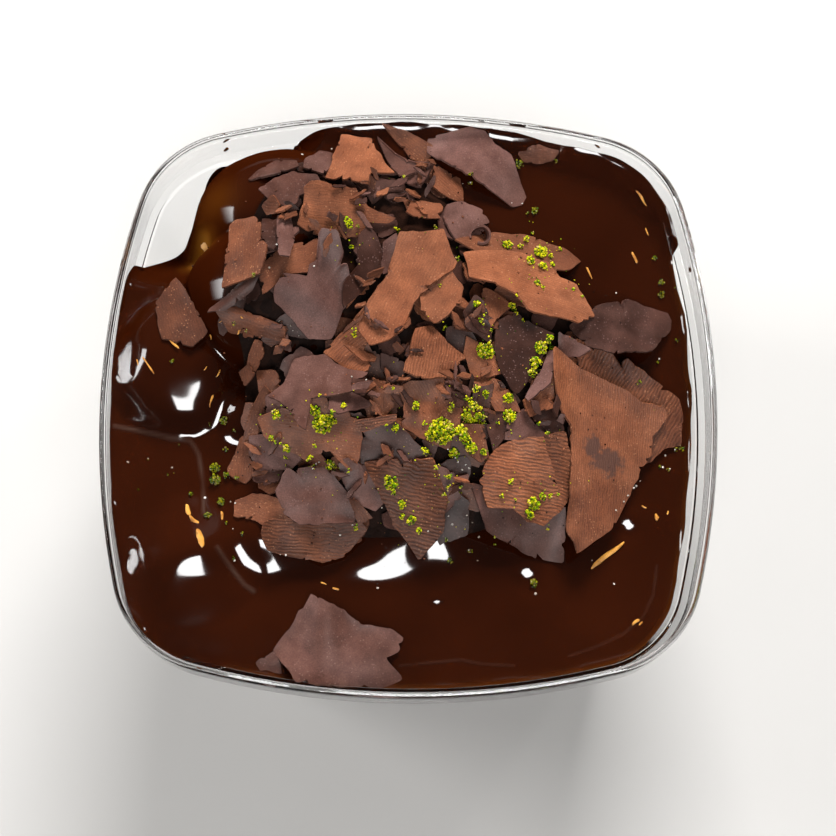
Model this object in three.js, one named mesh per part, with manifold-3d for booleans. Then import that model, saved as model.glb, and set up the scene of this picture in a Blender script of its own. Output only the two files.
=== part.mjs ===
// A clear square cup of profiteroles under chocolate sauce, heaped with chocolate shavings.
// Millimetres, +Z up. The origin is the middle of the cup's base; the camera side is -Y.
import * as THREE from "three";
import { mergeVertices } from "three/addons/utils/BufferGeometryUtils.js";
import Module from "manifold-3d";

const wasm = await Module();
wasm.setup();

// Cup: a rounded square with bowed sides, tapering to the base, with a stacking ledge
const cupHeight = 60;
const rimHalf = 55; // middle of a side to the axis, outside the rim
const sideRadius = 147; // bow of each side
const cornerRadius = 19.6;
const rimWidth = 1.1;
const rimDrop = 2.4; // height of the rim's bead
const wall = 0.9;
const ledgeHeight = 53; // top of the stacking ledge
const ledgeWidth = 1.5;
const taper = 0.18; // sideways per millimetre down, below the ledge
const baseThick = 1.3;
const baseRound = 2.6; // bevel between wall and base
const footWidth = 5; // the flat ring that the cup stands on
const footRise = 0.7; // the base inside that ring is this much higher
const sideSteps = 6;
const cornerSteps = 7;

// Chocolate sauce: a slightly tilted surface with an empty pocket in the far left corner
const gap = 0.3; // between solids that touch
const sauceLevel = 52.8; // at the axis
const slopeAcross = -0.04; // per millimetre of x
const slopeAway = 0.06; // per millimetre of y
const pocket = { at: [-45, 38], reach: 19, depth: 20 };
const sauceCell = 6;

// Profiteroles that stand out of the sauce; each is pressed against those named before it
const puffSides = 22;
const puffRings = 13;
const puffs = [
  { name: "profiterole_top_left", at: [-25.5, 18.5, 53], radii: [15.5, 14.5, 14] },
  { name: "profiterole_left", at: [-42, 7, 46.5], radii: [14.5, 15.5, 13.5] },
  { name: "profiterole_far_left", at: [-24.5, 35, 50], radii: [16, 14.5, 13.5] },
  { name: "profiterole_front_left", at: [-38.5, -30, 43], radii: [15, 15, 13] },
];

// Shavings: a low mound whose edge reaches this far from its middle, every 30 degrees from +X
const heapMiddle = [0, 5];
const heapReach = [37, 34, 28, 42, 45, 40, 32, 33, 35, 33, 34, 36];
const heapRise = 11;
const heapSkin = 1.4; // least cover over sauce and profiteroles
const heapFall = 0.8; // roundness of the mound's top
const heapSpokes = 36;
const heapRings = 8;
const shavingThick = 1.2;
const tear = 0.25; // unevenness of a shaving's edge
const longShaving = 12; // from this length on, a shaving has more corners
const steepest = 0.6; // slope that a shaving follows at most
const sink = 0.7; // how deep a shaving settles into what it lies on
const seed = 7;

// Loose bits that fill the mound below the larger shavings
const bits = { count: 30, length: [5, 10], width: [3, 6], tip: 24, spread: 0.92 };

// Larger shavings from the lowest to the top one: middle, length and width, heading of the
// length from +X in degrees, curl (rise of the ends), taper of the width and extra tip
const shavings = [
  { at: [21, -24], size: [16, 8], turn: 160, curl: 1, tip: [0, 6] },
  { at: [45, -2], size: [16, 8], turn: 105, curl: 1, tip: [0, -8] },
  { at: [39, 14], size: [18, 10], turn: 17, curl: -2 },
  { at: [-25, 43], size: [7, 4], turn: 14 },
  { at: [-21, 40], size: [8, 5], turn: 7 },
  { at: [-1, 49], size: [8, 3], turn: 138, tip: [0, 15] },
  { at: [-26, -21], size: [10, 6], turn: 145 },
  { at: [-28, -13], size: [7, 4], turn: 80 },
  { at: [-24, -13], size: [8, 4], turn: 157 },
  { at: [-18, -11], size: [14, 6], turn: 145, tip: [0, 12] },
  { at: [-3, -12], size: [11, 7], turn: 166 },
  { at: [-24, 27], size: [10, 5], turn: 99, tip: [0, 20] },
  { at: [-28, 9], size: [12, 3], turn: 169 },
  { at: [-31, 15], size: [12, 2.5], turn: 33 },
  { at: [3, 33], size: [7, 4], turn: 2 },
  { at: [-9, -19], size: [11, 6], turn: 139, tip: [8, 0] },
  { at: [-17, -27], size: [15, 6.5], turn: 5, tip: [0, -6] },
  { at: [-16, -20], size: [12, 8.5], turn: 164 },
  { at: [0, -21], size: [15, 10], turn: 122, tip: [-8, 0] },
  { at: [14, -3], size: [9, 7], turn: 170 },
  { at: [25, -6], size: [8, 6], turn: 175 },
  { at: [21, -16], size: [15, 14], turn: 32, tip: [0, 8] },
  { at: [5, 1], size: [12, 5], turn: 39, tip: [0, 18] },
  { at: [-16, -2], size: [13, 11], turn: 36, curl: -1.5 },
  { at: [19, 6], size: [12, 8.5], turn: 90, tip: [8, 0] },
  { at: [11, 10], size: [7, 4], turn: 119 },
  { at: [-15, 32], size: [10, 7], turn: 177 },
  { at: [-8, 40], size: [6, 4], turn: 99 },
  { at: [0, 43], size: [11, 6], turn: 131, curl: 2 },
  { at: [-10, 46], size: [11, 9.5], turn: 93, tip: [-8, 0] },
  { at: [-30, 26], size: [14, 6.5], turn: 90 },
  { at: [-17, 16], size: [15, 9], turn: 70, taper: -0.3, tip: [6, 8] },
  { at: [-7, 22], size: [12, 4], turn: 81, tip: [0, 50] },
  { at: [6, 14], size: [10, 5], turn: 56 },
  { at: [0, 17], size: [23, 10], turn: 59, curl: 2.5, taper: 0.15, tip: [-6, 0] },
  { at: [21, 22], size: [22, 14], turn: 151, curl: -2, tip: [0, 8] },
  { at: [30, 9], size: [7, 4], turn: 143, tip: [0, 30] },
  { at: [35, -9], size: [31, 18], turn: 86, curl: 2, taper: 0.35, tip: [-5, 6] },
];

// Shavings that lie by themselves
const loneShavings = [
  { name: "shaving_front", at: [-11.5, -43], size: [18, 12], turn: 166, curl: -1.5, tip: [0, 5] },
  { name: "shaving_left", at: [-40, 14], size: [13, 8], turn: 113, curl: -1.5 },
  { name: "shaving_far", at: [13, 45], size: [18, 8.5], turn: 146, curl: -1.5, tip: [0, -6] },
  { name: "shaving_far_right", at: [25, 47], size: [6.5, 3.6], turn: 7 },
];

// Chopped pistachio: x, y and radius of the largest crumbs, on the shavings and on the sauce
const crumbs = [
  [14, 4, 1.6], [11, -8, 1.5], [8, -11, 1.3], [13, -5, 1.2], [-15, -8, 1.4], [-13, -9, 1],
  [21, 26, 1.3], [22, 23, 1.1], [23, 7, 1.3], [25, 4, 1.1], [19, -19, 1.1], [-2, -17, 1.2], [0, -20, 1],
];
const sauceCrumbs = [
  [-34, -15, 1.4], [-32, -7, 1], [44, 24, 1.1], [44, 21, 1.2], [23, 38, 1.2],
];
const crumbSink = 0.5; // share of a crumb's radius below the surface

const colours = {
  plastic: { color: 0xf2f5f6, roughness: 0.05, metalness: 0, transparent: true, opacity: 0.25 },
  sauce: { color: 0x3a1a0c, roughness: 0.12, metalness: 0 },
  coatedPuff: { color: 0x44200f, roughness: 0.15, metalness: 0 },
  milkShaving: { color: 0x84533c, roughness: 0.6, metalness: 0 },
  darkShaving: { color: 0x583a33, roughness: 0.45, metalness: 0 },
};

const radians = THREE.MathUtils.degToRad;
const goldenAngle = Math.PI * (3 - Math.sqrt(5)); // spreads points evenly over a disc
const tiny = 0.01;
const weld = 1e-5; // corners nearer than this are one corner

// Same numbers on every run
let draw = seed;
function random() {
  draw = (draw * 16807) % 2147483647;
  return draw / 2147483647;
}

function between([low, high]) {
  return low + (high - low) * random();
}

// A closed three.js geometry as a solid, and back
function solidOf(geometry) {
  const bare = geometry.clone();
  bare.deleteAttribute("normal");
  bare.deleteAttribute("uv");
  const merged = mergeVertices(bare, weld);
  const vertProperties = new Float32Array(merged.attributes.position.array);
  const triVerts = new Uint32Array(merged.index.array);
  return new wasm.Manifold(new wasm.Mesh({ numProp: 3, vertProperties, triVerts }));
}

function meshData(points, triangles) {
  const geometry = new THREE.BufferGeometry();
  geometry.setAttribute("position", new THREE.Float32BufferAttribute(points.flat(), 3));
  geometry.setIndex(triangles.flat());
  return geometry;
}

// The one connected shell with the most volume: loose scraps are dropped, sealed hollows filled
function geometryOf(solid) {
  const { vertProperties, triVerts } = solid.getMesh();
  const parent = Array.from({ length: vertProperties.length / 3 }, (_, i) => i);
  const find = (i) => {
    while (parent[i] !== i) i = parent[i] = parent[parent[i]];
    return i;
  };
  for (let t = 0; t < triVerts.length; t += 3) {
    parent[find(triVerts[t])] = find(triVerts[t + 1]);
    parent[find(triVerts[t + 1])] = find(triVerts[t + 2]);
  }
  const corner = (i) => new THREE.Vector3().fromArray(vertProperties, 3 * i);
  const volumes = new Map();
  for (let t = 0; t < triVerts.length; t += 3) {
    const [a, b, c] = [0, 1, 2].map((i) => corner(triVerts[t + i]));
    const shell = find(triVerts[t]);
    volumes.set(shell, (volumes.get(shell) ?? 0) + a.dot(b.cross(c)) / 6);
  }
  const largest = [...volumes].sort((a, b) => b[1] - a[1])[0][0];
  const kept = [];
  for (let t = 0; t < triVerts.length; t += 3) {
    if (find(triVerts[t]) === largest) kept.push(triVerts[t], triVerts[t + 1], triVerts[t + 2]);
  }
  const geometry = new THREE.BufferGeometry();
  geometry.setAttribute("position", new THREE.BufferAttribute(vertProperties, 3));
  geometry.setIndex(kept);
  const tidy = mergeVertices(geometry.toNonIndexed(), weld);
  tidy.computeVertexNormals();
  return tidy;
}

// The rim's outline moved inwards by inset: four bowed sides and four round corners,
// each point found from the direction of the outline's normal
function outline(inset) {
  const back = sideRadius - rimHalf; // the side arcs' centres lie this far behind the axis
  const rest = back * back - (sideRadius - cornerRadius) ** 2;
  const corner = (-2 * back + Math.sqrt(4 * back * back - 8 * rest)) / 4;
  const half = Math.atan2(corner, corner + back);
  const points = [];
  for (let quarter = 0; quarter < 4; quarter++) {
    const turn = (quarter * Math.PI) / 2;
    const place = (x, y) => points.push([
      x * Math.cos(turn) - y * Math.sin(turn),
      x * Math.sin(turn) + y * Math.cos(turn),
    ]);
    for (let i = 0; i < sideSteps; i++) {
      const a = half * ((2 * i) / sideSteps - 1);
      place((sideRadius - inset) * Math.cos(a) - back, (sideRadius - inset) * Math.sin(a));
    }
    for (let i = 0; i < cornerSteps; i++) {
      const a = half + ((Math.PI / 2 - 2 * half) * i) / cornerSteps;
      const r = cornerRadius - inset;
      place(corner + r * Math.cos(a), corner + r * Math.sin(a));
    }
  }
  return points;
}

// A closed body from rings of the outline, [inset, z] each, shut at both ends on the axis
function loft(profile) {
  const rings = profile.map(([inset, z]) => outline(inset).map(([x, y]) => [x, y, z]));
  const n = rings[0].length;
  const points = rings.flat();
  const triangles = [];
  for (let k = 0; k + 1 < rings.length; k++) {
    for (let i = 0; i < n; i++) {
      const a = k * n + i;
      const b = k * n + ((i + 1) % n);
      triangles.push([a, b, b + n], [a, b + n, a + n]);
    }
  }
  const first = points.length;
  points.push([0, 0, profile[0][1]], [0, 0, profile.at(-1)[1]]);
  for (let i = 0; i < n; i++) {
    const last = (rings.length - 1) * n;
    triangles.push([first, (i + 1) % n, i], [first + 1, last + i, last + ((i + 1) % n)]);
  }
  return meshData(points, triangles);
}

// Inset of the cup's inner face at a height
function innerInset(z) {
  if (z >= ledgeHeight) return rimWidth;
  return rimWidth + ledgeWidth + (ledgeHeight - z) * taper;
}

function cup() {
  const shoulder = ledgeHeight - wall;
  const outer = (z) => innerInset(z) - wall;
  const underRim = cupHeight - rimDrop;
  return loft([
    [outer(0) + baseRound + footWidth + footRise, footRise],
    [outer(0) + baseRound + footWidth, 0],
    [outer(0) + baseRound, 0],
    [outer(baseRound / 4) + baseRound / 4, baseRound / 4],
    [outer(baseRound), baseRound],
    [outer(shoulder - wall), shoulder - wall],
    [rimWidth - wall, shoulder],
    [rimWidth - wall, underRim],
    [0, underRim + (rimWidth - wall)],
    [0, cupHeight - rimWidth / 3],
    [rimWidth / 3, cupHeight],
    [(rimWidth * 2) / 3, cupHeight],
    [rimWidth, cupHeight - rimWidth / 3],
    [rimWidth, ledgeHeight],
    [innerInset(ledgeHeight - tiny), ledgeHeight],
    [innerInset(baseRound + baseThick), baseRound + baseThick],
    [innerInset(baseThick) + baseRound, footRise + baseThick],
  ]);
}

// The room inside the cup, a gap away from its faces
function inside() {
  const floor = footRise + baseThick + gap;
  const bevel = baseRound + baseThick + gap;
  return solidOf(loft([
    [innerInset(baseThick) + baseRound + gap, floor],
    [innerInset(bevel) + gap, bevel],
    [innerInset(ledgeHeight - tiny) + gap, ledgeHeight + gap],
    [rimWidth + gap, ledgeHeight + gap + tiny],
    [rimWidth + gap, cupHeight + 2 * heapRise],
  ]));
}

function sauceTop(x, y) {
  const away = Math.hypot(x - pocket.at[0], y - pocket.at[1]) / pocket.reach;
  const dip = pocket.depth * THREE.MathUtils.smoothstep(1 - away, 0, 1);
  return sauceLevel + slopeAcross * x + slopeAway * y - dip;
}

// Everything below the sauce's surface raised by lift
function underSauce(lift) {
  const cells = Math.ceil((2 * (rimHalf + 1)) / sauceCell);
  const side = cells * sauceCell;
  const block = new THREE.BoxGeometry(side, side, 1, cells, cells, 1);
  const p = block.attributes.position;
  for (let i = 0; i < p.count; i++) {
    const top = p.getZ(i) > 0;
    p.setZ(i, top ? sauceTop(p.getX(i), p.getY(i)) + lift : -sauceCell);
  }
  return solidOf(block);
}

// A slightly lumpy ball, grown all round by grow
const lumps = { size: 0.03, across: 5, along: 4 };

function puffSolid({ at, radii }, grow = 0) {
  const ball = new THREE.SphereGeometry(1, puffSides, puffRings);
  ball.rotateX(Math.PI / 2);
  const p = ball.attributes.position;
  for (let i = 0; i < p.count; i++) {
    const [x, y, z] = [p.getX(i), p.getY(i), p.getZ(i)];
    const wave = Math.sin(lumps.across * x + at[0]) * Math.sin(lumps.along * y + at[1]);
    const lump = 1 + lumps.size * wave * (1 - z * z);
    const size = radii.map((r) => r * lump + grow);
    p.setXYZ(i, at[0] + x * size[0], at[1] + y * size[1], at[2] + z * size[2]);
  }
  return solidOf(ball);
}

function puffTop({ at, radii }, x, y) {
  const flat = ((x - at[0]) / radii[0]) ** 2 + ((y - at[1]) / radii[1]) ** 2;
  return flat < 1 ? at[2] + radii[2] * Math.sqrt(1 - flat) : -Infinity;
}

// What the shavings may not sink into
function firmTop(x, y) {
  return Math.max(sauceTop(x, y), ...puffs.map((puff) => puffTop(puff, x, y))) + gap;
}

// The mound's edge in a direction, by smooth steps between the named reaches
function reachAt(angle) {
  const steps = heapReach.length;
  const turn = ((angle / (2 * Math.PI)) * steps + steps) % steps;
  const low = Math.floor(turn);
  const blend = THREE.MathUtils.smoothstep(turn - low, 0, 1);
  return heapReach[low] * (1 - blend) + heapReach[(low + 1) % steps] * blend;
}

// The bare mound's height, or nothing outside its edge
function moundTop(x, y) {
  const [dx, dy] = [x - heapMiddle[0], y - heapMiddle[1]];
  const share = Math.hypot(dx, dy) / reachAt(Math.atan2(dy, dx));
  if (share > 1) return -Infinity;
  const rise = heapSkin + heapRise * Math.pow(1 - share * share, heapFall);
  return Math.max(sauceTop(x, y) + rise, firmTop(x, y) + heapSkin);
}

// The mound as a solid that runs below the sauce's surface, which then cuts it
function mound() {
  const points = [];
  const triangles = [];
  for (const deep of [false, true]) {
    const first = points.length;
    const height = (x, y) => (deep ? sauceTop(x, y) - 2 * heapSkin : moundTop(x, y));
    points.push([...heapMiddle, height(...heapMiddle)]);
    for (let ring = 1; ring <= heapRings; ring++) {
      for (let spoke = 0; spoke < heapSpokes; spoke++) {
        const angle = (2 * Math.PI * spoke) / heapSpokes;
        const r = ((reachAt(angle) - tiny) * ring) / heapRings;
        const [x, y] = [heapMiddle[0] + r * Math.cos(angle), heapMiddle[1] + r * Math.sin(angle)];
        points.push([x, y, height(x, y)]);
      }
    }
    const faces = [];
    for (let spoke = 0; spoke < heapSpokes; spoke++) {
      const next = (spoke + 1) % heapSpokes;
      faces.push([first, first + 1 + spoke, first + 1 + next]);
      for (let ring = 0; ring + 1 < heapRings; ring++) {
        const a = first + 1 + ring * heapSpokes;
        const b = a + heapSpokes;
        faces.push([a + spoke, b + spoke, b + next], [a + spoke, b + next, a + next]);
      }
    }
    triangles.push(...faces.map(([a, b, c]) => (deep ? [a, c, b] : [a, b, c])));
  }
  const half = points.length / 2;
  for (let spoke = 0; spoke < heapSpokes; spoke++) {
    const a = half - heapSpokes + spoke;
    const b = half - heapSpokes + ((spoke + 1) % heapSpokes);
    triangles.push([a, a + half, b + half], [a, b + half, b]);
  }
  return solidOf(meshData(points, triangles));
}

// A height map of what lies in the cup, one cell a millimetre
const cell = 1;
const across = Math.round((2 * rimHalf) / cell);
const firm = new Float32Array(across * across);
const soft = new Float32Array(across * across);
for (let row = 0; row < across; row++) {
  for (let column = 0; column < across; column++) {
    const [x, y] = [(column + 0.5) * cell - rimHalf, (row + 0.5) * cell - rimHalf];
    firm[row * across + column] = firmTop(x, y) + gap / 2;
    soft[row * across + column] = moundTop(x, y);
  }
}

// The lowest and highest point of a geometry over each cell that it covers
function shadow(geometry) {
  const flat = geometry.index ? geometry.toNonIndexed() : geometry;
  const p = flat.attributes.position;
  const cells = new Map();
  const [a, b, c, at] = [0, 1, 2, 3].map(() => new THREE.Vector3());
  for (let t = 0; t < p.count; t += 3) {
    [a, b, c].forEach((v, i) => v.fromBufferAttribute(p, t + i));
    const area = (b.x - a.x) * (c.y - a.y) - (c.x - a.x) * (b.y - a.y);
    if (Math.abs(area) < weld) continue;
    const index = (value) => THREE.MathUtils.clamp(Math.floor((value + rimHalf) / cell), 0, across - 1);
    const span = (axis) => [Math.min, Math.max].map((pick) => index(pick(a[axis], b[axis], c[axis])));
    const [[left, right], [near, far]] = [span("x"), span("y")];
    for (let row = near; row <= far; row++) {
      for (let column = left; column <= right; column++) {
        at.set((column + 0.5) * cell - rimHalf, (row + 0.5) * cell - rimHalf, 0);
        const v = ((at.x - a.x) * (c.y - a.y) - (c.x - a.x) * (at.y - a.y)) / area;
        const w = ((b.x - a.x) * (at.y - a.y) - (at.x - a.x) * (b.y - a.y)) / area;
        if (v < -tiny || w < -tiny || v + w > 1 + tiny) continue;
        const z = a.z + v * (b.z - a.z) + w * (c.z - a.z);
        const key = row * across + column;
        const [low, high] = cells.get(key) ?? [z, z];
        cells.set(key, [Math.min(low, z), Math.max(high, z)]);
      }
    }
  }
  return cells;
}

// Lowers a geometry until it rests. It sinks a little into the heap, never into the firm
// ground, and is left out where it would touch only that, unless it lies by itself.
function settle(geometry, depth, alone = false) {
  const cells = shadow(geometry);
  let onFirm = -Infinity;
  let onSoft = -Infinity;
  for (const [key, [low]] of cells) {
    onFirm = Math.max(onFirm, firm[key] - low);
    onSoft = Math.max(onSoft, soft[key] - low);
  }
  const lift = Math.max(onFirm, alone ? onSoft + 2 * gap : onSoft - depth);
  if (!alone && lift > onSoft - gap) return null;
  geometry.translate(0, 0, lift);
  const map = alone ? firm : soft;
  for (const [key, [, high]] of cells) map[key] = Math.max(map[key], high + lift);
  return geometry;
}

// One shaving: a thin slab with a torn edge, curled along its length, lying on the slope below it
function shaving({ at, size, turn, curl = 1, taper: narrow = 0, tip = [0, 0] }) {
  const corners = size[0] > longShaving ? 9 : 7;
  const ring = [];
  for (let i = 0; i < corners; i++) {
    const a = (2 * Math.PI * (i + tear * random())) / corners;
    const square = Math.pow(Math.cos(a) ** 4 + Math.sin(a) ** 4, -1 / 4);
    const r = square * (1 + tear * (random() - 1 / 2));
    const along = r * Math.cos(a);
    const aside = r * Math.sin(a) * (1 + narrow * along);
    ring.push([(along * size[0]) / 2, (aside * size[1]) / 2, curl * along * along]);
  }
  const points = [];
  const triangles = [];
  for (const face of [1, -1]) {
    const first = points.length;
    points.push([0, 0, (face * shavingThick) / 2]);
    ring.forEach(([x, y, z]) => points.push([x, y, z + (face * shavingThick) / 2]));
    for (let i = 0; i < corners; i++) {
      const pair = [first + 1 + i, first + 1 + ((i + 1) % corners)];
      triangles.push(face > 0 ? [first, ...pair] : [first, ...pair.reverse()]);
    }
  }
  for (let i = 0; i < corners; i++) {
    const [a, b] = [1 + i, 1 + ((i + 1) % corners)];
    const down = corners + 1;
    triangles.push([a, a + down, b + down], [a, b + down, b]);
  }
  const slab = meshData(points, triangles);
  const lean = new THREE.Euler(radians(tip[1]), radians(tip[0]), 0);
  slab.applyMatrix4(new THREE.Matrix4().makeRotationFromEuler(lean));
  slab.rotateZ(radians(turn));
  const reach = size[0] / 4;
  const slope = [[reach, 0], [0, reach]].map(([dx, dy]) => {
    const ground = (x, y) => Math.max(moundTop(x, y), firmTop(x, y));
    return (ground(at[0] + dx, at[1] + dy) - ground(at[0] - dx, at[1] - dy)) / (2 * reach);
  });
  const limit = (s) => THREE.MathUtils.clamp(s, -steepest, steepest);
  const up = new THREE.Vector3(-limit(slope[0]), -limit(slope[1]), 1).normalize();
  const tilt = new THREE.Quaternion().setFromUnitVectors(new THREE.Vector3(0, 0, 1), up);
  slab.applyQuaternion(tilt);
  slab.translate(at[0], at[1], 0);
  return slab;
}

function crumb([x, y, r]) {
  const lump = new THREE.IcosahedronGeometry(r, 0);
  lump.rotateX(between([0, Math.PI]));
  lump.rotateZ(between([0, Math.PI]));
  return lump.translate(x, y, 0);
}

// Loose bits scattered over the mound, lowest in the heap
function looseBits() {
  return Array.from({ length: bits.count }, (_, i) => {
    const angle = i * goldenAngle;
    const r = reachAt(angle) * Math.sqrt((i + 0.5) / bits.count) * bits.spread;
    return {
      at: [heapMiddle[0] + r * Math.cos(angle), heapMiddle[1] + r * Math.sin(angle)],
      size: [between(bits.length), between(bits.width)],
      turn: 360 * random(),
      tip: [bits.tip * (2 * random() - 1), bits.tip * (2 * random() - 1)],
    };
  });
}

const room = inside();
const grown = puffs.map((puff) => puffSolid(puff, gap + 5 * tiny));

function profiterole(index) {
  const cut = grown.slice(0, index).reduce((body, other) => body.subtract(other), puffSolid(puffs[index]));
  return geometryOf(cut.intersect(room));
}

function sauce() {
  let body = room.intersect(underSauce(0));
  for (const puff of grown) body = body.subtract(puff);
  for (const [x, y, r] of sauceCrumbs) {
    const lump = crumb([x, y, r]);
    lump.translate(0, 0, sauceTop(x, y) + r * (1 - crumbSink));
    body = body.add(solidOf(lump));
  }
  return geometryOf(body);
}

function heap() {
  let body = mound();
  const lay = (geometry, depth) => {
    const resting = settle(geometry, depth);
    if (resting) body = body.add(solidOf(resting));
  };
  for (const row of [...looseBits(), ...shavings]) lay(shaving(row), sink);
  for (const row of crumbs) lay(crumb(row), row[2] * crumbSink);
  body = body.subtract(underSauce(gap));
  for (const puff of grown) body = body.subtract(puff);
  return geometryOf(body.intersect(room));
}

function mesh(name, geometry, finish) {
  const made = new THREE.Mesh(geometry, new THREE.MeshStandardMaterial(colours[finish]));
  made.name = name;
  return made;
}

const group = new THREE.Group();
group.add(mesh("cup", cup(), "plastic"));
group.add(mesh("chocolate_sauce", sauce(), "sauce"));
puffs.forEach((puff, i) => group.add(mesh(puff.name, profiterole(i), "coatedPuff")));
group.add(mesh("chocolate_shavings", heap(), "milkShaving"));
for (const row of loneShavings) {
  const resting = settle(shaving(row), 0, true);
  group.add(mesh(row.name, geometryOf(solidOf(resting).intersect(room)), "darkShaving"));
}

export default group;
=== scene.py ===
import math

import bmesh
import bpy
import numpy as np
from mathutils import Matrix, Vector


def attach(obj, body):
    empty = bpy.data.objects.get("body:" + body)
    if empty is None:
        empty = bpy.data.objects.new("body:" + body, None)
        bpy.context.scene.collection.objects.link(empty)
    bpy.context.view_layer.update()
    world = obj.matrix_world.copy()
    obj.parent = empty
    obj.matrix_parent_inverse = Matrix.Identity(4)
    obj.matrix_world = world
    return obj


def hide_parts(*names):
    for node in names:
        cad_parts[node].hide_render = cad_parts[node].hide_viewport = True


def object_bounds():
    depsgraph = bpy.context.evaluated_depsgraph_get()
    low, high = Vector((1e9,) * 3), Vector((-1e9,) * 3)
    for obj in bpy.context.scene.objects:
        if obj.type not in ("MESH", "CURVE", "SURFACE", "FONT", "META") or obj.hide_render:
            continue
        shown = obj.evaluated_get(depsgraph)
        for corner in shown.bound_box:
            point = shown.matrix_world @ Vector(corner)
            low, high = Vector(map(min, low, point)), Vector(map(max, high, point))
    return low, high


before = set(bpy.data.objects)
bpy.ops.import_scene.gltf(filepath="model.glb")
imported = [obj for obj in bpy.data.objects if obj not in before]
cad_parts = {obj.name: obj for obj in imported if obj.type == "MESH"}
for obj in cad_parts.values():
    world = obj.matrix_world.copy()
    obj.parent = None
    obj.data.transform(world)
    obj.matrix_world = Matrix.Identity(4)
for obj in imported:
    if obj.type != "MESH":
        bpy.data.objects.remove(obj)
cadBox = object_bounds()
mm = 0.001
fullTurn = 2 * math.pi


# Small tools

def deselectAll():
    bpy.ops.object.select_all(action="DESELECT")


def pick(*objects):
    deselectAll()
    for obj in objects:
        obj.select_set(True)
    bpy.context.view_layer.objects.active = objects[0]


def addGrid(cells):
    deselectAll()
    bpy.ops.mesh.primitive_grid_add(x_subdivisions=cells, y_subdivisions=cells, size=2 * mm)
    return bpy.context.object


def addBall(subdivisions):
    deselectAll()
    bpy.ops.mesh.primitive_ico_sphere_add(subdivisions=subdivisions, radius=mm)
    return bpy.context.object


def copyOf(template):
    copy = template.copy()
    copy.data = template.data.copy()
    bpy.context.collection.objects.link(copy)
    return copy


# Joins parts into one object with the finishes in its slots
def joinParts(name, parts, *finishes):
    pick(*parts)
    bpy.ops.object.join()
    piece = bpy.context.object
    piece.name = name
    piece.data.name = name
    piece.data.materials.clear()
    for finish in finishes:
        piece.data.materials.append(finish)
    return piece


# In edit mode, selects the open edge of a sheet
def selectBorder():
    bpy.ops.object.mode_set(mode="EDIT")
    bpy.ops.mesh.select_mode(type="EDGE")
    bpy.ops.mesh.select_all(action="DESELECT")
    bpy.ops.mesh.select_non_manifold(use_wire=False, use_boundary=True)


# Turns all faces outwards and leaves edit mode
def faceOutwards():
    bpy.ops.mesh.select_all(action="SELECT")
    bpy.ops.mesh.normals_make_consistent(inside=False)
    bpy.ops.object.mode_set(mode="OBJECT")


def getPoints(obj):
    flat = np.empty(3 * len(obj.data.vertices), np.float32)
    obj.data.vertices.foreach_get("co", flat)
    return flat.reshape(-1, 3).astype(float) / mm


def setPoints(obj, points):
    flat = (np.asarray(points) * mm).astype(np.float32).ravel()
    obj.data.vertices.foreach_set("co", flat)
    obj.data.update()


def setAttribute(obj, name, values):
    attribute = obj.data.attributes.new(name, "FLOAT", "POINT")
    spread = np.broadcast_to(values, len(obj.data.vertices))
    attribute.data.foreach_set("value", spread.astype(np.float32))


def applyModifier(obj, kind, **settings):
    pick(obj)
    modifier = obj.modifiers.new(kind.title(), kind)
    for key, value in settings.items():
        setattr(modifier, key, value)
    bpy.ops.object.modifier_apply(modifier=modifier.name)


def shadeSmooth(obj, degrees):
    pick(obj)
    bpy.ops.object.shade_smooth_by_angle(angle=math.radians(degrees))


def placePiece(obj, slot, *nodes):
    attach(obj, "root")
    if nodes:
        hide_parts(*nodes)
    print(obj.name, "has", len(obj.data.polygons), "faces")


def smoothStep(t):
    t = np.clip(t, 0, 1)
    return t * t * (3 - 2 * t)


def smoothMax(a, b, width):
    share = np.clip(0.5 + 0.5 * (a - b) / width, 0, 1)
    return b + (a - b) * share + width * share * (1 - share)


# A bump 1 high that falls off in all directions
def bell(x, y=0):
    return np.exp(-(x**2) - y**2)


# Places turned anticlockwise about the origin
def turned(x, y, angle):
    c, s = math.cos(angle), math.sin(angle)
    return x * c - y * s, x * s + y * c


# Soft irregular waves, about -1 to 1, whose largest bumps are scale across
def ripples(x, y, scale, seed, octaves=3):
    draw = np.random.default_rng(seed)
    total = 0
    for octave in range(octaves):
        for _ in range(5):  # waves of each size, crossing each other
            heading, phase = draw.uniform(0, fullTurn, 2)
            length = scale * draw.uniform(0.7, 1.4) / 2**octave
            way = x * math.cos(heading) + y * math.sin(heading)
            total = total + np.sin(way * fullTurn / length + phase) / 2**octave
    return total / 2.6  # most of it is then between -1 and 1


# Material tools

def newMaterial(name, **sockets):
    material = bpy.data.materials.new(name)
    material.use_nodes = True
    shader = material.node_tree.nodes["Principled BSDF"]
    for key, value in sockets.items():
        shader.inputs[key.replace("_", " ")].default_value = value
    return material, material.node_tree, shader


# A node whose inputs are given by name or number, as a value or as another node's socket
def addNode(tree, kind, inputs=(), **options):
    node = tree.nodes.new("ShaderNode" + kind)
    for key, value in options.items():
        setattr(node, key, value)
    for key, value in dict(inputs).items():
        if isinstance(value, bpy.types.NodeSocket):
            tree.links.new(value, node.inputs[key])
        else:
            node.inputs[key].default_value = value
    return node


def addNoise(tree, vector, scale, detail=3, roughness=0.55):
    inputs = {"Vector": vector, "Scale": scale, "Detail": detail, "Roughness": roughness}
    return addNode(tree, "TexNoise", inputs).outputs["Fac"]


def addRamp(tree, factor, stops):
    stops = list(stops)
    node = addNode(tree, "ValToRGB", {"Fac": factor})
    elements = node.color_ramp.elements
    while len(elements) < len(stops):
        elements.new(0.5)
    for element, (position, colour) in zip(elements, stops):
        element.position = position
        element.color = (*colour, 1)
    return node.outputs["Color"]


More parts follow.
